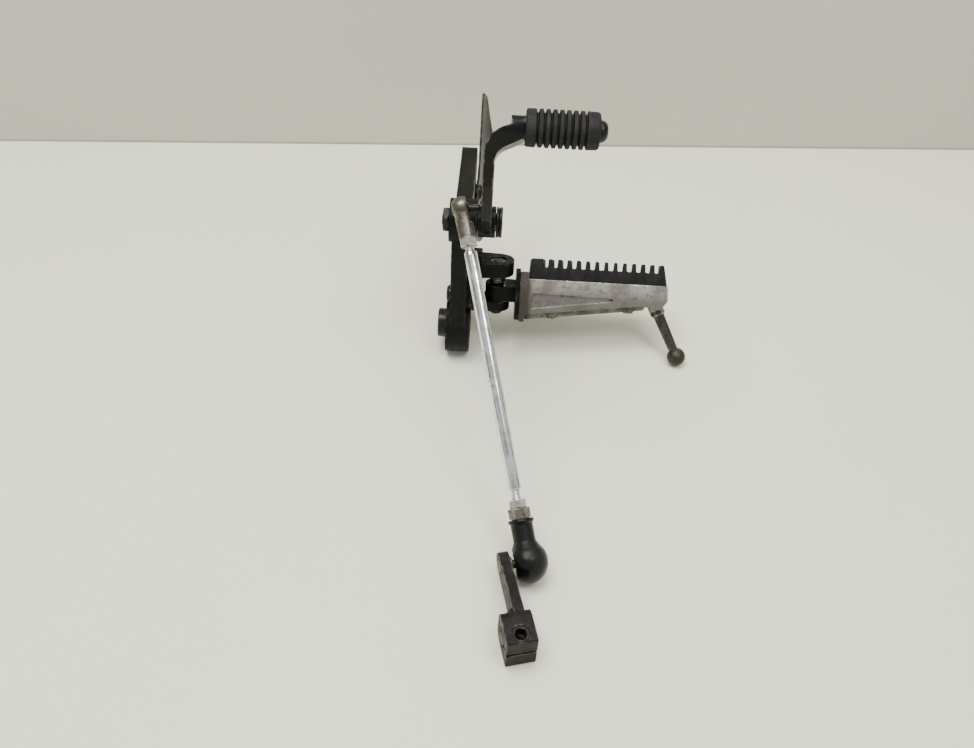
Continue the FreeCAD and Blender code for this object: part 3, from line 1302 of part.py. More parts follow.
node_names = [
    "bracket", "lower_mount_collar", "lower_mount_grommet", "upper_mount_bush", "rear_arm_bush",
    "heel_guard", "heel_guard_screws", "lever_pivot_pin", "lever_pivot_washer", "lever_pivot_nut",
    "peg_holder", "holder_bolts", "peg_pin", "peg_pin_clip", "peg_spring",
    "shift_lever", "lever_bush", "lever_seals", "toe_rubber", "toe_pin", "upper_ball_stud",
    "upper_rod_end", "upper_ball_seat", "upper_jam_nut", "link_rod", "lower_jam_nut",
    "lower_rod_end", "lower_ball_seat", "lower_boot",
    "shift_arm", "lower_ball_stud",
    "peg_knuckle", "peg_body", "peg_rubber", "tread_plate", "tread_screws", "bank_sensor",
]

doc.recompute()
failed = [thing.Label for thing in doc.Objects if "Invalid" in thing.State or "Error" in thing.State]
if failed:
    raise RuntimeError("failed objects: %s" % failed)
os.makedirs("parts", exist_ok=True)
for name in node_names:
    node = doc.getObjectsByLabel(name)[0]
    if node.Shape.isNull() or not node.Shape.isValid() or node.Shape.Volume <= 0:
        raise RuntimeError("%s has no valid shape" % name)
    node.Shape.exportStep("parts/%s.step" % name)
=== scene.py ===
import json
import math
import bpy
import bmesh
from mathutils import Matrix, Vector


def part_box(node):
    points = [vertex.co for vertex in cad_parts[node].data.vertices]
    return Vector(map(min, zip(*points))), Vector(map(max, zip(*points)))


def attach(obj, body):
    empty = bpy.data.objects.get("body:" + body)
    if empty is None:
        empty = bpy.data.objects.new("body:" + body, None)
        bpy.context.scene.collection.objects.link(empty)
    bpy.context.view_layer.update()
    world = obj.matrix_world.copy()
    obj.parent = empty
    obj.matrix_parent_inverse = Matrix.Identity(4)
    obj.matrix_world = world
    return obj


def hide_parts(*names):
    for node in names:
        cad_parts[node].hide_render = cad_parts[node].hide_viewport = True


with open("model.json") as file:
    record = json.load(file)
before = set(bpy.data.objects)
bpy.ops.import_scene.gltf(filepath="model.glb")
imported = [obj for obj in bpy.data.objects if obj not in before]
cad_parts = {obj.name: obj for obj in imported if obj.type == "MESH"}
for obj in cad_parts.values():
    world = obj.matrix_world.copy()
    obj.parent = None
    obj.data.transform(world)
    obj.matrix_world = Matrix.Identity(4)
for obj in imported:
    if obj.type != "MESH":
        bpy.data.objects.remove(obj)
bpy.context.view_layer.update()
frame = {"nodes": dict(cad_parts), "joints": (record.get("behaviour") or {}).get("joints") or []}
nodes = frame["nodes"]
joints = {joint["name"]: joint for joint in frame["joints"]}
millimetre = 0.001
print("frame loaded:", len(nodes), "CAD nodes")


def jointSpot(name):
    return Vector(joints[name]["pos_m"])


def frameAt(origin, xAxis, yAxis, zAxis):
    turn = Matrix((xAxis, yAxis, zAxis)).transposed().to_4x4()
    return Matrix.Translation(origin) @ turn


leanAngle = math.radians(-40)
bikeTurn = Matrix.Rotation(leanAngle, 4, "X")
pegFrame = Matrix.Translation(jointSpot("peg_fold")) @ bikeTurn
upperBall = jointSpot("rod_swing")
lowerBall = jointSpot("arm_swing")
rodAlong = (lowerBall - upperBall).normalized()
rodSide = (Vector((1, 0, 0)) - rodAlong * rodAlong.x).normalized()
rodFrame = frameAt(upperBall, rodAlong, rodSide.cross(rodAlong), rodSide)
bootFrame = frameAt(lowerBall, -rodAlong, -rodSide.cross(rodAlong), rodSide)
armAxis = Vector(joints["arm_swing"]["axis"]).normalized()
armFrame = frameAt(lowerBall, armAxis, Vector((-armAxis.y, armAxis.x, 0)), Vector((0, 0, 1)))


def boxCentre(node):
    low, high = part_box(node)
    return (low + high) / 2


def addNode(tree, kind, settings=None, **inputs):
    made = tree.nodes.new("ShaderNode" + kind)
    for name, setting in (settings or {}).items():
        setattr(made, name, setting)
    for name, content in inputs.items():
        wire(tree, content, made.inputs[name.replace("_", " ")])
    return made


def wire(tree, content, socket):
    if isinstance(content, bpy.types.NodeSocket):
        tree.links.new(content, socket)
    elif isinstance(content, (tuple, list)) and socket.type == "RGBA":
        socket.default_value = (*content[:3], 1)
    else:
        socket.default_value = content


def maths(tree, operation, *values, clamp=False):
    made = tree.nodes.new("ShaderNodeMath")
    made.operation = operation
    made.use_clamp = clamp
    for socket, content in zip(made.inputs, values):
        wire(tree, content, socket)
    return made.outputs[0]


def spread(tree, content, low, high, outLow=0.0, outHigh=1.0):
    made = addNode(tree, "MapRange", {"interpolation_type": "SMOOTHSTEP"})
    for socket, number in zip(made.inputs, (content, low, high, outLow, outHigh)):
        wire(tree, number, socket)
    return made.outputs[0]


def mixColours(tree, share, first, second, blend="MIX"):
    made = addNode(tree, "Mix", {"data_type": "RGBA", "blend_type": blend})
    wire(tree, share, made.inputs["Factor"])
    wire(tree, first, made.inputs[6])
    wire(tree, second, made.inputs[7])
    return made.outputs[2]


def mixNumbers(tree, share, first, second):
    made = addNode(tree, "Mix", {"data_type": "FLOAT"})
    wire(tree, share, made.inputs["Factor"])
    wire(tree, first, made.inputs[2])
    wire(tree, second, made.inputs[3])
    return made.outputs[0]


def noise(tree, where, scale, detail=3.0, roughness=0.55):
    made = addNode(tree, "TexNoise", Vector=where, Scale=scale, Detail=detail, Roughness=roughness)
    return made.outputs["Fac"]


def newGroup(name, inputs, outputs):
    tree = bpy.data.node_groups.new(name, "ShaderNodeTree")
    for socketName, kind, start in inputs:
        socket = tree.interface.new_socket(socketName, in_out="INPUT", socket_type="NodeSocket" + kind)
        socket.default_value = start
    for socketName, kind in outputs:
        tree.interface.new_socket(socketName, in_out="OUTPUT", socket_type="NodeSocket" + kind)
    entry = tree.nodes.new("NodeGroupInput")
    leave = tree.nodes.new("NodeGroupOutput")
    return tree, entry.outputs, leave.inputs


grainLook = {
    "broadScale": 0.12, "cellScale": 0.35, "pitEdge": (0.08, 0.3), "fineWeight": 0.6, "broadWeight": 0.4,
    "maskRange": (0.35, 0.65),
}


def makeCastGrain(look):
    # sand-cast skin: fine grain with scattered pits
    tree, given, result = newGroup("castGrain", [("Scale", "Float", 900.0), ("Pits", "Float", 0.4)],
                                   [("Height", "Float"), ("Mask", "Float")])
    where = addNode(tree, "TexCoord").outputs["Object"]
    fine = noise(tree, where, given["Scale"], 4.0, 0.6)
    broad = noise(tree, where, maths(tree, "MULTIPLY", given["Scale"], look["broadScale"]), 3.0)
    cells = addNode(tree, "TexVoronoi", {"feature": "F1"}, Vector=where,
                    Scale=maths(tree, "MULTIPLY", given["Scale"], look["cellScale"])).outputs["Distance"]
    pits = spread(tree, cells, *look["pitEdge"])
    dips = maths(tree, "MULTIPLY", maths(tree, "SUBTRACT", 1.0, pits), given["Pits"])
    skin = maths(tree, "ADD", maths(tree, "MULTIPLY", fine, look["fineWeight"]),
                 maths(tree, "MULTIPLY", broad, look["broadWeight"]))
    wire(tree, maths(tree, "SUBTRACT", skin, dips), result["Height"])
    wire(tree, spread(tree, broad, *look["maskRange"]), result["Mask"])
    return tree


wearLook = {
    "samples": 6, "edgeRange": (0.55, 0.95), "patchStart": 0.68, "patchReach": 0.45, "patchBlend": 0.16,
    "speckScale": 4.0, "speckRange": (0.7, 0.76), "speckShare": 0.5,
}


def makeEdgeWear(look):
    # bare outer edges: where little of the solid lies just inside the surface
    tree, given, result = newGroup("edgeWear", [("Reach", "Float", 0.0008), ("Amount", "Float", 0.5),
                                                ("Patch Scale", "Float", 120.0)], [("Mask", "Float")])
    where = addNode(tree, "TexCoord").outputs["Object"]
    settings = {"inside": True, "only_local": True, "samples": look["samples"]}
    inside = addNode(tree, "AmbientOcclusion", settings, Distance=given["Reach"]).outputs["AO"]
    edge = spread(tree, inside, *look["edgeRange"], 1.0, 0.0)
    patches = noise(tree, where, given["Patch Scale"], 5.0, 0.65)
    low = maths(tree, "SUBTRACT", look["patchStart"],
                maths(tree, "MULTIPLY", given["Amount"], look["patchReach"]))
    broken = spread(tree, patches, low, maths(tree, "ADD", low, look["patchBlend"]))
    worn = maths(tree, "MULTIPLY", edge, broken)
    small = noise(tree, where, maths(tree, "MULTIPLY", given["Patch Scale"], look["speckScale"]), 3.0)
    speck = maths(tree, "MULTIPLY", spread(tree, small, *look["speckRange"]),
                  maths(tree, "MULTIPLY", given["Amount"], look["speckShare"]))
    wire(tree, maths(tree, "MAXIMUM", worn, speck, clamp=True), result["Mask"])
    return tree


topLightDustLook = {"facingRange": (-0.2, 0.9), "lowestShare": 0.25, "cloudRange": (0.38, 0.7)}


def makeDustAndTopLight(look):
    # pale dust that settles on faces that look up and in patches elsewhere; on the dark parts the lift on
    # faces that look up is also painted top light
    tree, given, result = newGroup("dustAndTopLight", [("Amount", "Float", 0.3), ("Scale", "Float", 60.0)],
                                   [("Mask", "Float")])
    where = addNode(tree, "TexCoord").outputs["Object"]
    normal = addNode(tree, "NewGeometry").outputs["Normal"]
    upward = addNode(tree, "SeparateXYZ", Vector=normal).outputs["Z"]
    facing = spread(tree, upward, *look["facingRange"], look["lowestShare"], 1.0)
    cloud = spread(tree, noise(tree, where, given["Scale"], 6.0, 0.65), *look["cloudRange"])
    settled = maths(tree, "MULTIPLY", facing, cloud)
    wire(tree, maths(tree, "MULTIPLY", settled, given["Amount"], clamp=True), result["Mask"])
    return tree


def makeSoftEdge():
    # normal that rolls over sharp edges by the given radius
    tree, given, result = newGroup("softEdge", [("Radius", "Float", 0.0004)], [("Normal", "Vector")])
    rolled = addNode(tree, "Bevel", {"samples": 4}, Radius=given["Radius"])
    wire(tree, rolled.outputs["Normal"], result["Normal"])
    return tree


streakLook = {"broadScale": 0.15, "fineRange": (0.35, 0.65), "broadRange": (0.3, 0.7)}


def makeDrawnStreaks(look):
    # long scratches along the piece's own x axis
    tree, given, result = newGroup("drawnStreaks", [("Scale", "Float", 900.0), ("Stretch", "Float", 0.02)],
                                   [("Height", "Float"), ("Mask", "Float")])
    where = addNode(tree, "TexCoord").outputs["Object"]
    squeeze = addNode(tree, "CombineXYZ", X=given["Stretch"], Y=1.0, Z=1.0).outputs[0]
    drawn = addNode(tree, "VectorMath", {"operation": "MULTIPLY"})
    wire(tree, where, drawn.inputs[0])
    wire(tree, squeeze, drawn.inputs[1])
    fine = noise(tree, drawn.outputs[0], given["Scale"], 4.0, 0.6)
    broad = noise(tree, where, maths(tree, "MULTIPLY", given["Scale"], look["broadScale"]), 4.0)
    wire(tree, fine, result["Height"])
    wire(tree, maths(tree, "MULTIPLY", spread(tree, fine, *look["fineRange"]),
                     spread(tree, broad, *look["broadRange"])), result["Mask"])
    return tree


castGrain = makeCastGrain(grainLook)
edgeWear = makeEdgeWear(wearLook)
dustAndTopLight = makeDustAndTopLight(topLightDustLook)
softEdge = makeSoftEdge()
drawnStreaks = makeDrawnStreaks(streakLook)
print("shared effects made")


def useGroup(tree, group, **inputs):
    made = tree.nodes.new("ShaderNodeGroup")
    made.node_tree = group
    for name, content in inputs.items():
        wire(tree, content, made.inputs[name.replace("_", " ")])
    return made.outputs


# the dust settings here and in finishLooks also paint the lit look of faces that look up
sharedFinish = {
    "metallic": 0.0, "specular": 0.5, "bumpStrength": 0.35, "wearReach": 0.0008, "wearPatch": 140.0,
    "bareMetal": 0.9, "bareRoughness": 0.38, "dustScale": 70.0, "dustColour": (0.32, 0.30, 0.27),
    "dustRoughness": 0.85, "stainStart": 0.62, "stainEnd": 0.72, "stainReach": (0.25, 0.2),
    "stainRoughness": 0.12, "stainMetal": 0.75, "bandRagged": 0.002,
}


def makeFinish(name, ownLook):
    look = {**sharedFinish, **ownLook}
    material = bpy.data.materials.new(name)
    material.use_nodes = True
    tree = material.node_tree
    shader = tree.nodes["Principled BSDF"]
    if look.get("streaks"):
        grain = useGroup(tree, drawnStreaks, Scale=look["grainScale"], Stretch=look["streaks"])
    else:
        grain = useGroup(tree, castGrain, Scale=look["grainScale"], Pits=look["pits"])
    colour = mixColours(tree, grain["Mask"], look["colour"], look["secondColour"])
    roughness = spread(tree, grain["Mask"], 0.0, 1.0, *look["roughness"])
    metallic = look["metallic"]
    if look.get("tarnish"):
        where = addNode(tree, "TexCoord").outputs["Object"]
        cloud = noise(tree, where, look["tarnishScale"], 7.0, 0.68)
        stain = spread(tree, cloud, look["stainStart"] - look["tarnish"] * look["stainReach"][0],
                       look["stainEnd"] - look["tarnish"] * look["stainReach"][1])
        colour = mixColours(tree, stain, colour, look["tarnishColour"])
        roughness = maths(tree, "ADD", roughness, maths(tree, "MULTIPLY", stain, look["stainRoughness"]))
        metallic = spread(tree, stain, 0.0, 1.0, metallic, metallic * look["stainMetal"])
    # bands darken the colour below a level along an axis; on the peg body the first one is painted shade
    # along its lower side
    for band in look.get("bands", ()):
        place = addNode(tree, "VectorMath", {"operation": "DOT_PRODUCT"})
        wire(tree, addNode(tree, "TexCoord").outputs["Object"], place.inputs[0])
        place.inputs[1].default_value = band["axis"]
        ragged = maths(tree, "MULTIPLY", maths(tree, "SUBTRACT", grain["Mask"], 0.5), look["bandRagged"])
        share = spread(tree, maths(tree, "ADD", place.outputs["Value"], ragged), band["low"], band["high"],
                       band["strength"], 0.0)
        colour = mixColours(tree, share, colour, band["colour"])
    if look.get("wear"):
        worn = useGroup(tree, edgeWear, Reach=look["wearReach"], Amount=look["wear"],
                        Patch_Scale=look["wearPatch"])["Mask"]
        colour = mixColours(tree, worn, colour, look["bareColour"])
        if not look["metallic"]:
            metallic = maths(tree, "MULTIPLY", worn, look["bareMetal"])
        roughness = mixNumbers(tree, worn, roughness, look["bareRoughness"])
    # dust film, which on faces that look up is also painted light from above
    if look.get("dust"):
        dustAndTopLit = useGroup(tree, dustAndTopLight, Amount=look["dust"], Scale=look["dustScale"])["Mask"]
        colour = mixColours(tree, dustAndTopLit, colour, look["dustColour"])
        roughness = mixNumbers(tree, dustAndTopLit, roughness, look["dustRoughness"])
    bump = addNode(tree, "Bump", Strength=look["bumpStrength"], Distance=look["bumpDepth"],
                   Height=grain["Height"])
    if look.get("edgeRadius"):
        wire(tree, useGroup(tree, softEdge, Radius=look["edgeRadius"])["Normal"], bump.inputs["Normal"])
    wire(tree, colour, shader.inputs["Base Color"])
    wire(tree, roughness, shader.inputs["Roughness"])
    wire(tree, metallic, shader.inputs["Metallic"])
    wire(tree, bump.outputs["Normal"], shader.inputs["Normal"])
    shader.inputs["Specular IOR Level"].default_value = look["specular"]
    return material


finishLooks = {
    "blackCasting": dict(colour=(0.0035, 0.0035, 0.0036), secondColour=(0.007, 0.0068, 0.0066),
                         roughness=(0.4, 0.56), grainScale=1500.0, pits=0.35, bumpDepth=0.00008,
                         wear=0.42, bareColour=(0.08, 0.076, 0.07), wearReach=0.0012, specular=0.1,
                         dust=0.01, dustScale=90.0, edgeRadius=0.0009),
    # the pale bare colour on the lever's edges is worn metal and also a painted glint along its outer edge
    "leverBlack": dict(colour=(0.0035, 0.0035, 0.0036), secondColour=(0.006, 0.0058, 0.0055),
                       roughness=(0.28, 0.42), grainScale=1100.0, pits=0.2, bumpDepth=0.00005,
                       wear=0.5, bareColour=(0.2, 0.19, 0.178), wearReach=0.0009, specular=0.12,
                       dust=0.006, edgeRadius=0.0009),
    "armCasting": dict(colour=(0.006, 0.0056, 0.0051), secondColour=(0.011, 0.0103, 0.0094),
                       roughness=(0.38, 0.54), grainScale=1300.0, pits=0.3, bumpDepth=0.00007,
                       wear=0.5, bareColour=(0.17, 0.16, 0.14), wearReach=0.0008, wearPatch=260.0,
                       specular=0.12, dust=0.03, edgeRadius=0.0006),
    "guardSheet": dict(colour=(0.01, 0.01, 0.0095), secondColour=(0.02, 0.0195, 0.018),
                       roughness=(0.3, 0.42), grainScale=500.0, streaks=0.15, bumpDepth=0.00002,
                       wear=0.5, bareColour=(0.16, 0.152, 0.136), wearReach=0.0009, specular=0.12,
                       dust=0.015),
    "bareCasting": dict(colour=(0.56, 0.53, 0.475), secondColour=(0.2, 0.185, 0.16), metallic=0.88,
                        roughness=(0.26, 0.44), grainScale=700.0, pits=0.35, bumpDepth=0.00012,
                        bumpStrength=0.55, tarnish=0.4, tarnishScale=330.0, tarnishColour=(0.17, 0.155, 0.13),
                        wear=0.25, bareColour=(0.6, 0.575, 0.52), wearReach=0.0008, bareRoughness=0.26,
                        dust=0.02, edgeRadius=0.0009, bands=(
                            # painted shade: darker along the lower side of the peg body
                            {"axis": (0.0, 0.643, 0.766), "low": 0.021, "high": 0.0335,
                             "colour": (0.09, 0.082, 0.068), "strength": 0.66},
                            {"axis": (1.0, 0.0, 0.0), "low": 0.0625, "high": 0.068,
                             "colour": (0.05, 0.043, 0.032), "strength": 0.86})),
    "blackSteel": dict(colour=(0.0032, 0.0032, 0.0034), secondColour=(0.006, 0.0058, 0.0055),
                       roughness=(0.22, 0.38), grainScale=900.0, pits=0.1, bumpDepth=0.00003,
                       wear=0.5, bareColour=(0.22, 0.21, 0.19), specular=0.25, dust=0.012,
                       edgeRadius=0.0005),
    "sensorSteel": dict(colour=(0.075, 0.067, 0.055), secondColour=(0.04, 0.036, 0.029), metallic=0.85,
                        roughness=(0.3, 0.46), grainScale=900.0, pits=0.5, bumpDepth=0.00006,
                        tarnish=0.6, tarnishScale=260.0, tarnishColour=(0.022, 0.019, 0.014),
                        wear=0.85, bareColour=(0.5, 0.48, 0.43), wearReach=0.0012, dust=0.015,
                        edgeRadius=0.0004),
    "wornSteel": dict(colour=(0.16, 0.147, 0.122), secondColour=(0.095, 0.086, 0.07), metallic=0.85,
                      roughness=(0.28, 0.44), grainScale=1200.0, pits=0.5, bumpDepth=0.00007,
                      tarnish=0.5, tarnishScale=230.0, tarnishColour=(0.05, 0.044, 0.034),
                      wear=0.6, bareColour=(0.46, 0.44, 0.39), wearReach=0.001, dust=0.02,
                      edgeRadius=0.0005),
    "brightZinc": dict(colour=(0.86, 0.86, 0.83), secondColour=(0.2, 0.2, 0.19), metallic=1.0,
                       roughness=(0.12, 0.26), grainScale=700.0, streaks=0.01, bumpDepth=0.00002,
                       bumpStrength=0.35, tarnish=0.2, tarnishScale=180.0, tarnishColour=(0.3, 0.285, 0.25),
                       edgeRadius=0.0002),
    "nutZinc": dict(colour=(0.8, 0.775, 0.7), secondColour=(0.5, 0.475, 0.4), metallic=1.0,
                    roughness=(0.16, 0.3), grainScale=1200.0, pits=0.2, bumpDepth=0.00002,
                    tarnish=0.35, tarnishScale=300.0, tarnishColour=(0.2, 0.165, 0.105), edgeRadius=0.0003),
    "bronzeBush": dict(colour=(0.42, 0.27, 0.13), secondColour=(0.34, 0.21, 0.1), metallic=0.9,
                       roughness=(0.3, 0.45), grainScale=1200.0, pits=0.4, bumpDepth=0.00003),
    "seatPlastic": dict(colour=(0.62, 0.6, 0.52), secondColour=(0.54, 0.52, 0.44),
                        roughness=(0.4, 0.5), grainScale=900.0, pits=0.1, bumpDepth=0.00002),
    "treadRubber": dict(colour=(0.0055, 0.0055, 0.0062), secondColour=(0.009, 0.0088, 0.0092),
                        roughness=(0.5, 0.68), grainScale=1700.0, pits=0.3, bumpDepth=0.00005,
                        specular=0.16, dust=0.02, dustScale=120.0, wear=0.4, bareMetal=0.0,
                        bareColour=(0.02, 0.019, 0.0185), bareRoughness=0.8),
    "toeRubber": dict(colour=(0.0085, 0.0083, 0.0085), secondColour=(0.013, 0.0126, 0.0128),
                      roughness=(0.55, 0.72), grainScale=1700.0, pits=0.25, bumpDepth=0.00005,
                      specular=0.18, dust=0.04, dustScale=140.0, wear=0.5, bareMetal=0.0,
                      bareColour=(0.03, 0.028, 0.0275), bareRoughness=0.8),
    "softRubber": dict(colour=(0.0035, 0.0035, 0.0038), secondColour=(0.006, 0.0058, 0.006),
                       roughness=(0.26, 0.4), grainScale=700.0, pits=0.15, bumpDepth=0.00004,
                       specular=0.2, dust=0.012, dustScale=110.0),
}
finishes = {name: makeFinish(name, look) for name, look in finishLooks.items()}

nodeFinishes = {
    "blackCasting": ["bracket", "peg_holder", "peg_knuckle"],
    "leverBlack": ["shift_lever"],
    "armCasting": ["shift_arm"],
    "guardSheet": ["heel_guard"],
    "bareCasting": ["peg_body"],
    "blackSteel": ["lower_mount_collar", "heel_guard_screws", "lever_pivot_pin", "lever_pivot_washer",
                   "lever_pivot_nut", "holder_bolts", "peg_pin", "toe_pin", "upper_ball_stud"],
    "sensorSteel": ["bank_sensor"],
    "wornSteel": ["upper_mount_bush", "rear_arm_bush", "peg_pin_clip", "peg_spring", "upper_rod_end",
                  "lower_rod_end", "lower_ball_stud", "tread_plate", "tread_screws"],
    "nutZinc": ["upper_jam_nut", "lower_jam_nut"],
    "bronzeBush": ["lever_bush"],
    "seatPlastic": ["upper_ball_seat", "lower_ball_seat"],
}
for finishName, members in nodeFinishes.items():
    for member in members:
        if member in nodes:
            nodes[member].data.materials.clear()
            nodes[member].data.materials.append(finishes[finishName])
print("finishes made:", len(finishes))


def newPiece(name, points, faces, place, finish, body, smooth=True):
    mesh = bpy.data.meshes.new(name)
    mesh.from_pydata([tuple(point) for point in points], [], faces)
    mesh.validate()
    work = bmesh.new()
    work.from_mesh(mesh)
    bmesh.ops.recalc_face_normals(work, faces=work.faces)
    work.to_mesh(mesh)
    work.free()
    for face in mesh.polygons:
        face.use_smooth = smooth
    piece = bpy.data.objects.new(name, mesh)
    bpy.context.scene.collection.objects.link(piece)
    piece.matrix_world = place
    mesh.materials.append(finishes[finish])
    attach(piece, body)
    return piece


def tubeOfRings(rings):
    # closed skin through rings of equal length, capped with a fan at each end
    count = len(rings[0])
    points = [point for ring in rings for point in ring]
    faces = []
    for level in range(len(rings) - 1):
        for step in range(count):
            a = level * count + step
            b = level * count + (step + 1) % count
            faces.append((a, b, b + count, a + count))
    for level, ring in ((0, rings[0]), (len(rings) - 1, rings[-1])):
        centre = sum((Vector(point) for point in ring), Vector()) / count
        hub = len(points)
        points.append(centre)
        for step in range(count):
            faces.append((level * count + step, level * count + (step + 1) % count, hub))
    return points, faces


def latheLoop(profile, segments):
    # closed ring of revolution about x from a closed (x, radius) profile
    count = len(profile)
    points, faces = [], []
    for step in range(segments):
        angle = 2 * math.pi * step / segments
        for x, radius in profile:
            points.append((x, radius * math.cos(angle), radius * math.sin(angle)))
    for step in range(segments):
        following = (step + 1) % segments
        for i in range(count):
            j = (i + 1) % count
            faces.append((step * count + i, step * count + j, following * count + j, following * count + i))
    return points, faces


def roundCorners(corners, steps=5, closed=True):
    # (x, y, radius) corners of an outline, each turned into a short arc
    made = []
    count = len(corners)
    for i, corner in enumerate(corners):
        here = Vector(corner[:2])
        radius = corner[2] if len(corner) > 2 else 0
        if radius == 0 or (not closed and i in (0, count - 1)):
            made.append(tuple(here))
            continue
        before = Vector(corners[i - 1][:2]) - here
        after = Vector(corners[(i + 1) % count][:2]) - here
        half = before.angle(after) / 2
        reach = min(radius / math.tan(half), before.length * 0.49, after.length * 0.49)
        radius = reach * math.tan(half)
        middle = here + (before.normalized() + after.normalized()).normalized() * (radius / math.sin(half))
        start = here + before.normalized() * reach - middle
        turn = math.pi - 2 * half
        side = -1 if before.cross(after) > 0 else 1
        for step in range(steps + 1):
            swing = side * turn * step / steps
            made.append(tuple(middle + Matrix.Rotation(swing, 2) @ start))
    return made


def inMetres(points):
    return [tuple(part * millimetre for part in point) for point in points]


treadLook = {
    "start": 23.0, "length": 99.4, "seat": 8.0, "height": 14.8,
    "rootHalfWidth": 15.75, "tipHalfWidth": 11.3, "cornerRadius": 4.0, "skew": 7.0,
    "grooves": 13, "firstBlock": 10.4, "pitch": 6.66, "width": 4.2, "depth": 6.0,
    "lipRadius": 0.7, "edgeRadius": 1.3, "endSlope": 3.2, "wallSlope": 0.45, "floorRound": 0.8,
    "sideLean": 0.25, "skin": 0.05,
}


def treadHalfWidth(x, look):
    end = look["start"] + look["length"]
    share = min(max((x - look["start"]) / (end - look["start"]), 0), 1)
    width = look["rootHalfWidth"] + (look["tipHalfWidth"] - look["rootHalfWidth"]) * share
    corner = look["cornerRadius"]
    past = min(x - (end - corner), corner)
    if past > 0:
        width -= corner - math.sqrt(corner ** 2 - past ** 2)
    return width


def skewed(x, across, look):
    # the grooves cross the peg at a slight angle, and both of its ends stay square
    end = look["start"] + look["length"]
    share = min(max((x - look["start"] - 2) / 6, 0), 1) * min(max((end - 2 - x) / 4, 0), 1)
    return x + across * math.tan(math.radians(look["skew"])) * share


def treadProfile(look):
    # the comb seen from the side: (x, height) with rounded lips, from the root to the tip
    seat = look["seat"]
    top = seat + look["height"]
    end = look["start"] + look["length"]
    lip = look["lipRadius"]
    floor, slope, corner = top - look["depth"] + look["skin"], look["wallSlope"], look["floorRound"]
    corners = [(look["start"] + 2.0, seat + look["skin"]), (look["start"] + 0.15, seat + 2.6, 2.0),
               (look["start"] + 0.95, top, 1.3)]
    for number in range(look["grooves"]):
        x = look["start"] + look["firstBlock"] + number * look["pitch"]
        far = x + look["width"]
        corners += [(x, top, lip), (x + slope, floor, corner), (far - slope, floor, corner), (far, top, lip)]
    corners += [(end - look["endSlope"], top, 1.1), (end - look["skin"], seat + 0.2)]
    return roundCorners(corners, 5, closed=False)


def makeTread(look):
    rings = []
    seat = look["seat"]
    for x, height in treadProfile(look):
        half = treadHalfWidth(x, look)
        edge = min(look["edgeRadius"], (height - seat) * 0.45)
        lean = look["sideLean"]
        outline = roundCorners([(-half, seat, lean), (half, seat, lean), (half - lean, height, edge),
                                (-half + lean, height, edge)], 4)
        rings.append([(skewed(x, across, look), across, up) for across, up in outline])
    points, faces = tubeOfRings(rings)
    piece = newPiece("tread_comb", inMetres(points), faces, pegFrame, "treadRubber", "peg")
    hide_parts("peg_rubber")


makeTread(treadLook)
print("tread rubber made")


toeLook = {
    "radius": 10.7, "length": 41.5, "bore": 4.05, "grooves": 8, "depth": 2.2, "mouth": 1.8,
    "firstRib": 5.6, "lastRib": 7.2, "ribRound": 0.4, "valleyRound": 0.45, "slope": 0.36, "skin": 0.02,
    "segments": 96,
}


def makeToeRubber(look):
    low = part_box("toe_rubber")[0]
    centre = boxCentre("toe_rubber")
    place = Matrix.Translation((low.x, centre.y, centre.z))
    radius, length, mouth = look["radius"], look["length"], look["mouth"]
    pitch = (length - look["firstRib"] - look["lastRib"] - mouth) / (look["grooves"] - 1)
    rib, valley = radius - look["skin"], radius - look["depth"]
    corners = [(look["skin"], look["bore"]), (look["skin"], radius - 0.2, 1.1)]
    for number in range(look["grooves"]):
        x = look["firstRib"] + number * pitch
        corners += [(x, rib, look["ribRound"]), (x + mouth * look["slope"], valley, look["valleyRound"]),
                    (x + mouth * (1 - look["slope"]), valley, look["valleyRound"]),
                    (x + mouth, rib, look["ribRound"])]
    corners += [(length - 0.05, radius - 0.4, 1.7), (length - 0.05, look["bore"])]
    points, faces = latheLoop(roundCorners(corners, 5), look["segments"])
    piece = newPiece("toe_grip", inMetres(points), faces, place, "toeRubber", "lever")
    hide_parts("toe_rubber")


makeToeRubber(toeLook)
print("toe rubber made")


bootLook = {
    "radius": 12.7, "wall": 1.5, "neck": 7.1, "lip": 7.95, "length": 25.4, "inner": 5.85, "flat": 0.93,
    "mouthRadius": 8.6, "mouthDepth": 7.6, "ripple": 0.22, "voxel": 0.00042, "segments": 96,
    "outerSteps": 26, "innerSteps": 19, "joinShare": 0.86, "axisRadius": 0.004, "cutterLength": 0.02,
    "cutterSegments": 64, "smoothing": 0.5, "smoothingRounds": 6,
}


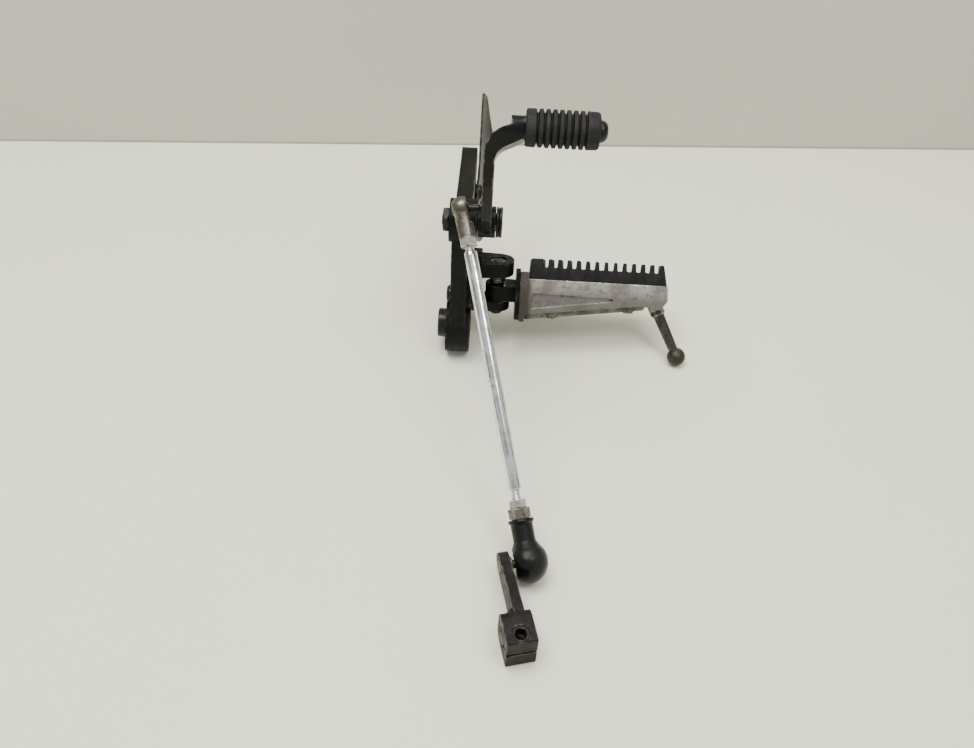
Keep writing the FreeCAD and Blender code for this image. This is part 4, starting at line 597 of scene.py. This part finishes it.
def makeBoot(look):
    radius, wall, neck = look["radius"], look["wall"], look["neck"]
    join = math.acos(neck / radius)
    outer = []
    for step in range(look["outerSteps"] + 1):
        angle = math.pi - (math.pi - join * look["joinShare"]) * step / look["outerSteps"]
        outer.append((radius * math.cos(angle), radius * math.sin(angle)))
    tail = [(radius * math.sin(join) + 1.6, neck - 0.1), (look["length"] - 2.6, neck - 0.35),
            (look["length"] - 1.9, look["lip"] - 0.15), (look["length"] - 0.9, look["lip"]),
            (look["length"], look["lip"] - 0.35), (look["length"], look["inner"])]
    inner = []
    reach = radius - wall
    opening = math.asin(look["inner"] / reach)
    for step in range(look["innerSteps"] + 1):
        angle = opening + (math.pi - opening) * step / look["innerSteps"]
        inner.append((reach * math.cos(angle), reach * math.sin(angle)))
    profile = [(x, max(r, look["axisRadius"])) for x, r in outer + tail + inner]
    points, faces = latheLoop(profile, look["segments"])
    points = [drumPoint(point, look) for point in points]
    piece = newPiece("ball_boot", inMetres(points), faces, bootFrame, "softRubber", "rod")
    cutter = addCutter(look)
    cut = piece.modifiers.new("mouth", "BOOLEAN")
    cut.operation = "DIFFERENCE"
    cut.solver = "EXACT"
    cut.object = cutter
    remesh = piece.modifiers.new("skin", "REMESH")
    remesh.mode = "VOXEL"
    remesh.voxel_size = look["voxel"]
    remesh.use_smooth_shade = True
    smooth = piece.modifiers.new("soften", "SMOOTH")
    smooth.factor = look["smoothing"]
    smooth.iterations = look["smoothingRounds"]
    bakeModifiers(piece)
    bpy.data.objects.remove(cutter)
    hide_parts("lower_boot")


def drumPoint(point, look):
    # flattened along the stud, with a slightly uneven skin and lip
    x, y, z = point
    roundness = max(0.0, 1 - max(x, 0.0) / (look["length"] * 0.62))
    squeeze = 1 - (1 - look["flat"]) * min(roundness * 2.2, 1.0)
    angle = math.atan2(z, y)
    swell = 1 - look["ripple"] * 0.03 * (1 + math.sin(3 * angle + x * 0.5) * math.sin(2 * angle - x * 0.9))
    return x, y * swell, z * squeeze * swell


def addCutter(look):
    mesh = bpy.data.meshes.new("cutter")
    work = bmesh.new()
    radius = look["mouthRadius"] * millimetre
    bmesh.ops.create_cone(work, cap_ends=True, segments=look["cutterSegments"], radius1=radius,
                          radius2=radius, depth=look["cutterLength"])
    work.to_mesh(mesh)
    work.free()
    cutter = bpy.data.objects.new("cutter", mesh)
    bpy.context.scene.collection.objects.link(cutter)
    below = -look["mouthDepth"] * millimetre - look["cutterLength"] / 2
    cutter.matrix_world = bootFrame @ Matrix.Translation((0, 0, below))
    bpy.context.view_layer.update()
    return cutter


def bakeModifiers(piece):
    view = bpy.context.evaluated_depsgraph_get()
    view.update()
    mesh = bpy.data.meshes.new_from_object(piece.evaluated_get(view))
    old = piece.data
    piece.modifiers.clear()
    piece.data = mesh
    bpy.data.meshes.remove(old)
    for face in mesh.polygons:
        face.use_smooth = True


makeBoot(bootLook)
print("boot made")


rodLook = {
    "length": 220.0, "shank": 20.5, "lowerShank": 32.0, "nut": 5.0, "upperGap": 3.0, "lowerGap": 6.0,
    "radius": 4.0, "threadCrest": 2.95, "threadRoot": 2.42, "threadPitch": 1.0, "engaged": 9.0,
    "segments": 40, "stationsPerTurn": 8, "barSteps": 60, "shoulder": 0.8, "threadStart": 0.1,
    "crestSlope": 1.35, "rootFlat": 0.1,
}


def makeLinkRod(look):
    engaged = look["engaged"]
    start = look["shank"] - engaged
    top = look["shank"] + look["nut"] + look["upperGap"]
    foot = look["length"] - look["lowerShank"] - look["nut"] - look["lowerGap"]
    stop = look["length"] - look["lowerShank"] + engaged
    step = look["threadPitch"] / look["stationsPerTurn"]
    shoulder = [(0, look["threadRoot"] + 0.2), (0.05, look["radius"] - 0.7), (0.3, look["radius"] - 0.25),
                (look["shoulder"], look["radius"])]
    length, parts = foot - top - 2 * look["shoulder"], look["barSteps"]
    stations = [(start + step * i, "upper") for i in range(int((top - start) / step))]
    stations += [(top + x, size) for x, size in shoulder]
    stations += [(top + look["shoulder"] + length * i / parts, look["radius"]) for i in range(1, parts)]
    stations += [(foot - x, size) for x, size in reversed(shoulder)]
    below = foot + look["threadStart"]
    stations += [(below + step * i, "lower") for i in range(int((stop - below) / step))]
    rings = []
    count = look["segments"]
    for x, radius in stations:
        ring = []
        for number in range(count):
            angle = 2 * math.pi * number / count
            size = radius
            if isinstance(radius, str):
                hand = 1 if radius == "upper" else -1
                phase = (x / look["threadPitch"] + hand * number / count) % 1.0
                rise = look["crestSlope"] * (1 - abs(2 * phase - 1)) - look["rootFlat"]
                rise = min(1.0, max(0.0, rise))
                size = look["threadRoot"] + (look["threadCrest"] - look["threadRoot"]) * rise
            ring.append((x, size * math.cos(angle), size * math.sin(angle)))
        rings.append(ring)
    points, faces = tubeOfRings(rings)
    piece = newPiece("threaded_rod", inMetres(points), faces, rodFrame, "brightZinc", "rod")
    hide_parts("link_rod")


makeLinkRod(rodLook)
print("link rod made")


ringLook = {
    "segments": 72, "grommet": (6.55, 11.95, 6.05, 23.0), "inset": 0.1, "nearDish": 0.9, "farDish": 1.2,
    "dishHalf": 0.8, "dishRound": 0.6, "sealInner": 6.1, "sealOuter": 9.2, "sealWidth": 1.6, "skin": 0.02,
}


def makeRing(name, profile, place, body, replaced, segments):
    points, faces = latheLoop(roundCorners(profile, 4), segments)
    piece = newPiece(name, inMetres(points), faces, place, "softRubber", body)
    if replaced:
        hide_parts(replaced)
    return piece


def makeGrommet(look):
    inner, outer, start, end = look["grommet"]
    middle, half, corner, inset = (inner + outer) / 2, look["dishHalf"], look["dishRound"], look["inset"]
    near, far = start + look["nearDish"], end - look["farDish"]
    profile = [(start + inset, inner), (near, middle - half, corner), (near, middle + half, corner),
               (start + inset, outer), (end - inset, outer), (far, middle + half, corner),
               (far, middle - half, corner), (end - inset, inner)]
    makeRing("mount_grommet", profile, bikeTurn.copy(), "root", "lower_mount_grommet",
             look["segments"])


def makeSeals(look):
    low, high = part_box("lever_seals")
    inner, outer, width = look["sealInner"], look["sealOuter"], look["sealWidth"]
    near, far = look["skin"], width - look["skin"]
    profile = [(near, inner, 0.3), (near, outer, 0.5), (far, outer, 0.5), (far, inner, 0.3)]
    centre = boxCentre("lever_seals")
    for name, x, replaced in (("inner_seal", low.x, "lever_seals"),
                              ("outer_seal", high.x - width * millimetre, None)):
        makeRing(name, profile, Matrix.Translation((x, centre.y, centre.z)), "lever", replaced,
                 look["segments"])


makeGrommet(ringLook)
makeSeals(ringLook)
print("rings made")


splineLook = {"teeth": 32, "root": 6.5, "tip": 5.95, "length": 17.3, "back": 17.4, "down": 44.5, "gap": 57.0}


def makeClampTeeth(look):
    # fine teeth round the bore, left open at the slit
    points, faces = [], []
    half = look["length"] / 2
    centreX = -look["back"]
    steps = look["teeth"] * 4
    ringFrom = math.radians(180 + look["gap"])
    ringTo = math.radians(540 - look["gap"])
    for number in range(steps + 1):
        angle = ringFrom + (ringTo - ringFrom) * number / steps
        inward = (look["tip"], look["tip"], look["root"] - 0.02, look["root"] - 0.02)[number % 4]
        for x in (centreX - half, centreX + half):
            for radius in (look["root"] + 0.15, inward):
                points.append((x, -look["down"] + radius * math.cos(angle), radius * math.sin(angle)))
    for number in range(steps):
        a, b = number * 4, number * 4 + 4
        faces += [(a + 1, b + 1, b + 3, a + 3), (a, a + 2, b + 2, b), (a, b, b + 1, a + 1),
                  (a + 2, a + 3, b + 3, b + 2)]
    last = steps * 4
    faces += [(0, 1, 3, 2), (last, last + 2, last + 3, last + 1)]
    newPiece("clamp_serrations", inMetres(points), faces, armFrame, "wornSteel", "arm",
             smooth=False)


makeClampTeeth(splineLook)
print("clamp serrations made")


roomLook = {
    "floorColour": (0.81, 0.81, 0.685), "wallColour": (0.56, 0.56, 0.485), "floorZ": -0.0205,
    "wallY": 0.267, "wallTurn": 4.83, "halfWidth": 3.0, "wallHeight": 2.2, "nearY": -3.0,
    # the next entries paint a dark strip of shade along the crease where the table meets the wall
    "creaseShadeColour": (0.40, 0.40, 0.35), "creaseShadeHeight": 0.0022, "creaseShadeStep": 0.0006,
    "floorRoughness": 0.5, "wallRoughness": 0.7, "creaseShadeRoughness": 0.8,
}
paintLook = {
    "cloudScale": 2.2, "cloudRange": (0.3, 0.7), "speckScale": 160.0, "speckRange": (0.74, 0.8),
    "speckShare": 0.35, "speckTone": 0.8, "roughnessSpread": 0.1, "specular": 0.25,
    # the last tone here is for the painted crease shade
    "secondTone": 0.97, "creaseShadeTone": 0.94,
}


def toned(colour, share):
    return tuple(part * share for part in colour)


def makeStageMaterial(name, colour, second, roughness):
    look = paintLook
    material = bpy.data.materials.new(name)
    material.use_nodes = True
    tree = material.node_tree
    shader = tree.nodes["Principled BSDF"]
    where = addNode(tree, "TexCoord").outputs["Object"]
    cloud = spread(tree, noise(tree, where, look["cloudScale"], 4.0), *look["cloudRange"])
    specks = spread(tree, noise(tree, where, look["speckScale"], 2.0), *look["speckRange"], 0.0,
                    look["speckShare"])
    tone = mixColours(tree, cloud, colour, second)
    tone = mixColours(tree, specks, tone, toned(colour, look["speckTone"]))
    wire(tree, tone, shader.inputs["Base Color"])
    wire(tree, spread(tree, cloud, 0.0, 1.0, roughness, roughness + look["roughnessSpread"]),
         shader.inputs["Roughness"])
    shader.inputs["Specular IOR Level"].default_value = look["specular"]
    backing = addNode(tree, "NewGeometry").outputs["Backfacing"]
    clear = tree.nodes.new("ShaderNodeBsdfTransparent")
    joined = tree.nodes.new("ShaderNodeMixShader")
    tree.links.new(backing, joined.inputs[0])
    tree.links.new(shader.outputs[0], joined.inputs[1])
    tree.links.new(clear.outputs[0], joined.inputs[2])
    tree.links.new(joined.outputs[0], tree.nodes["Material Output"].inputs["Surface"])
    return material


def makeStagePlane(name, corners, material):
    mesh = bpy.data.meshes.new(name)
    mesh.from_pydata(corners, [], [(0, 1, 2, 3)])
    plane = bpy.data.objects.new(name, mesh)
    bpy.context.scene.collection.objects.link(plane)
    mesh.materials.append(material)


def makeRoom(look):
    wide, floor, near = look["halfWidth"], look["floorZ"], look["nearY"]
    slope = math.tan(math.radians(look["wallTurn"]))
    left, right = look["wallY"] - wide * slope, look["wallY"] + wide * slope
    floorPaint = makeStageMaterial("paleTable", look["floorColour"],
                                   toned(look["floorColour"], paintLook["secondTone"]),
                                   look["floorRoughness"])
    wallPaint = makeStageMaterial("paleWall", look["wallColour"],
                                  toned(look["wallColour"], paintLook["secondTone"]),
                                  look["wallRoughness"])
    makeStagePlane("table", [(-wide, near, floor), (wide, near, floor), (wide, right, floor),
                             (-wide, left, floor)], floorPaint)
    makeStagePlane("wall", [(-wide, left, floor), (wide, right, floor), (wide, right, look["wallHeight"]),
                            (-wide, left, look["wallHeight"])], wallPaint)
    # a dark strip at the foot of the wall: painted shade in the crease between table and wall
    creaseShadePaint = makeStageMaterial("paintedCreaseShade", look["creaseShadeColour"],
                                  toned(look["creaseShadeColour"], paintLook["creaseShadeTone"]), look["creaseShadeRoughness"])
    left, right, top = left - look["creaseShadeStep"], right - look["creaseShadeStep"], floor + look["creaseShadeHeight"]
    makeStagePlane("creaseShade", [(-wide, left, floor), (wide, right, floor), (wide, right, top),
                            (-wide, left, top)], creaseShadePaint)


makeRoom(roomLook)

lightLook = {
    "overhead": {"spot": (-0.15, 0.12, 1.5), "size": (1.5, 0.8), "power": 47.0, "colour": (1.0, 0.985, 0.95)},
    "second": {"spot": (0.55, -0.45, 1.3), "size": (0.5, 0.3), "power": 7.5, "colour": (1.0, 0.98, 0.94)},
    "skyColour": (0.97, 0.98, 1.0), "skyStrength": 0.76, "aim": (0.05, -0.05, 0.0),
}


def makeLights(look):
    for name in ("overhead", "second"):
        facts = look[name]
        data = bpy.data.lights.new(name, "AREA")
        data.shape = "RECTANGLE"
        data.size, data.size_y = facts["size"]
        data.energy = facts["power"]
        data.color = facts["colour"]
        lamp = bpy.data.objects.new(name, data)
        bpy.context.scene.collection.objects.link(lamp)
        lamp.location = facts["spot"]
        toward = Vector(look["aim"]) - Vector(facts["spot"])
        lamp.rotation_euler = toward.to_track_quat("-Z", "Y").to_euler()
    world = bpy.data.worlds.new("softRoom")
    world.use_nodes = True
    background = world.node_tree.nodes["Background"]
    background.inputs["Color"].default_value = (*look["skyColour"], 1)
    background.inputs["Strength"].default_value = look["skyStrength"]
    bpy.context.scene.world = world


makeLights(lightLook)

cameraLook = {
    "spot": (0.0375, -0.508, 0.4742), "pitch": 46.0, "roll": 3.2, "lens": 35.11, "sensorWidth": 36.0,
    "clipStart": 0.01,
}


def makeCamera(look):
    pitch, roll = math.radians(look["pitch"]), math.radians(look["roll"])
    ahead = Vector((0, math.cos(pitch), -math.sin(pitch)))
    right = Vector((1, 0, 0))
    up = right.cross(ahead)
    tiltedRight = right * math.cos(roll) + up * math.sin(roll)
    tiltedUp = up * math.cos(roll) - right * math.sin(roll)
    data = bpy.data.cameras.new("camera")
    data.lens = look["lens"]
    data.sensor_width = look["sensorWidth"]
    data.clip_start = look["clipStart"]
    camera = bpy.data.objects.new("camera", data)
    bpy.context.scene.collection.objects.link(camera)
    camera.matrix_world = frameAt(Vector(look["spot"]), tiltedRight, tiltedUp, -ahead)
    bpy.context.scene.camera = camera


makeCamera(cameraLook)
print("room, lights and camera made")
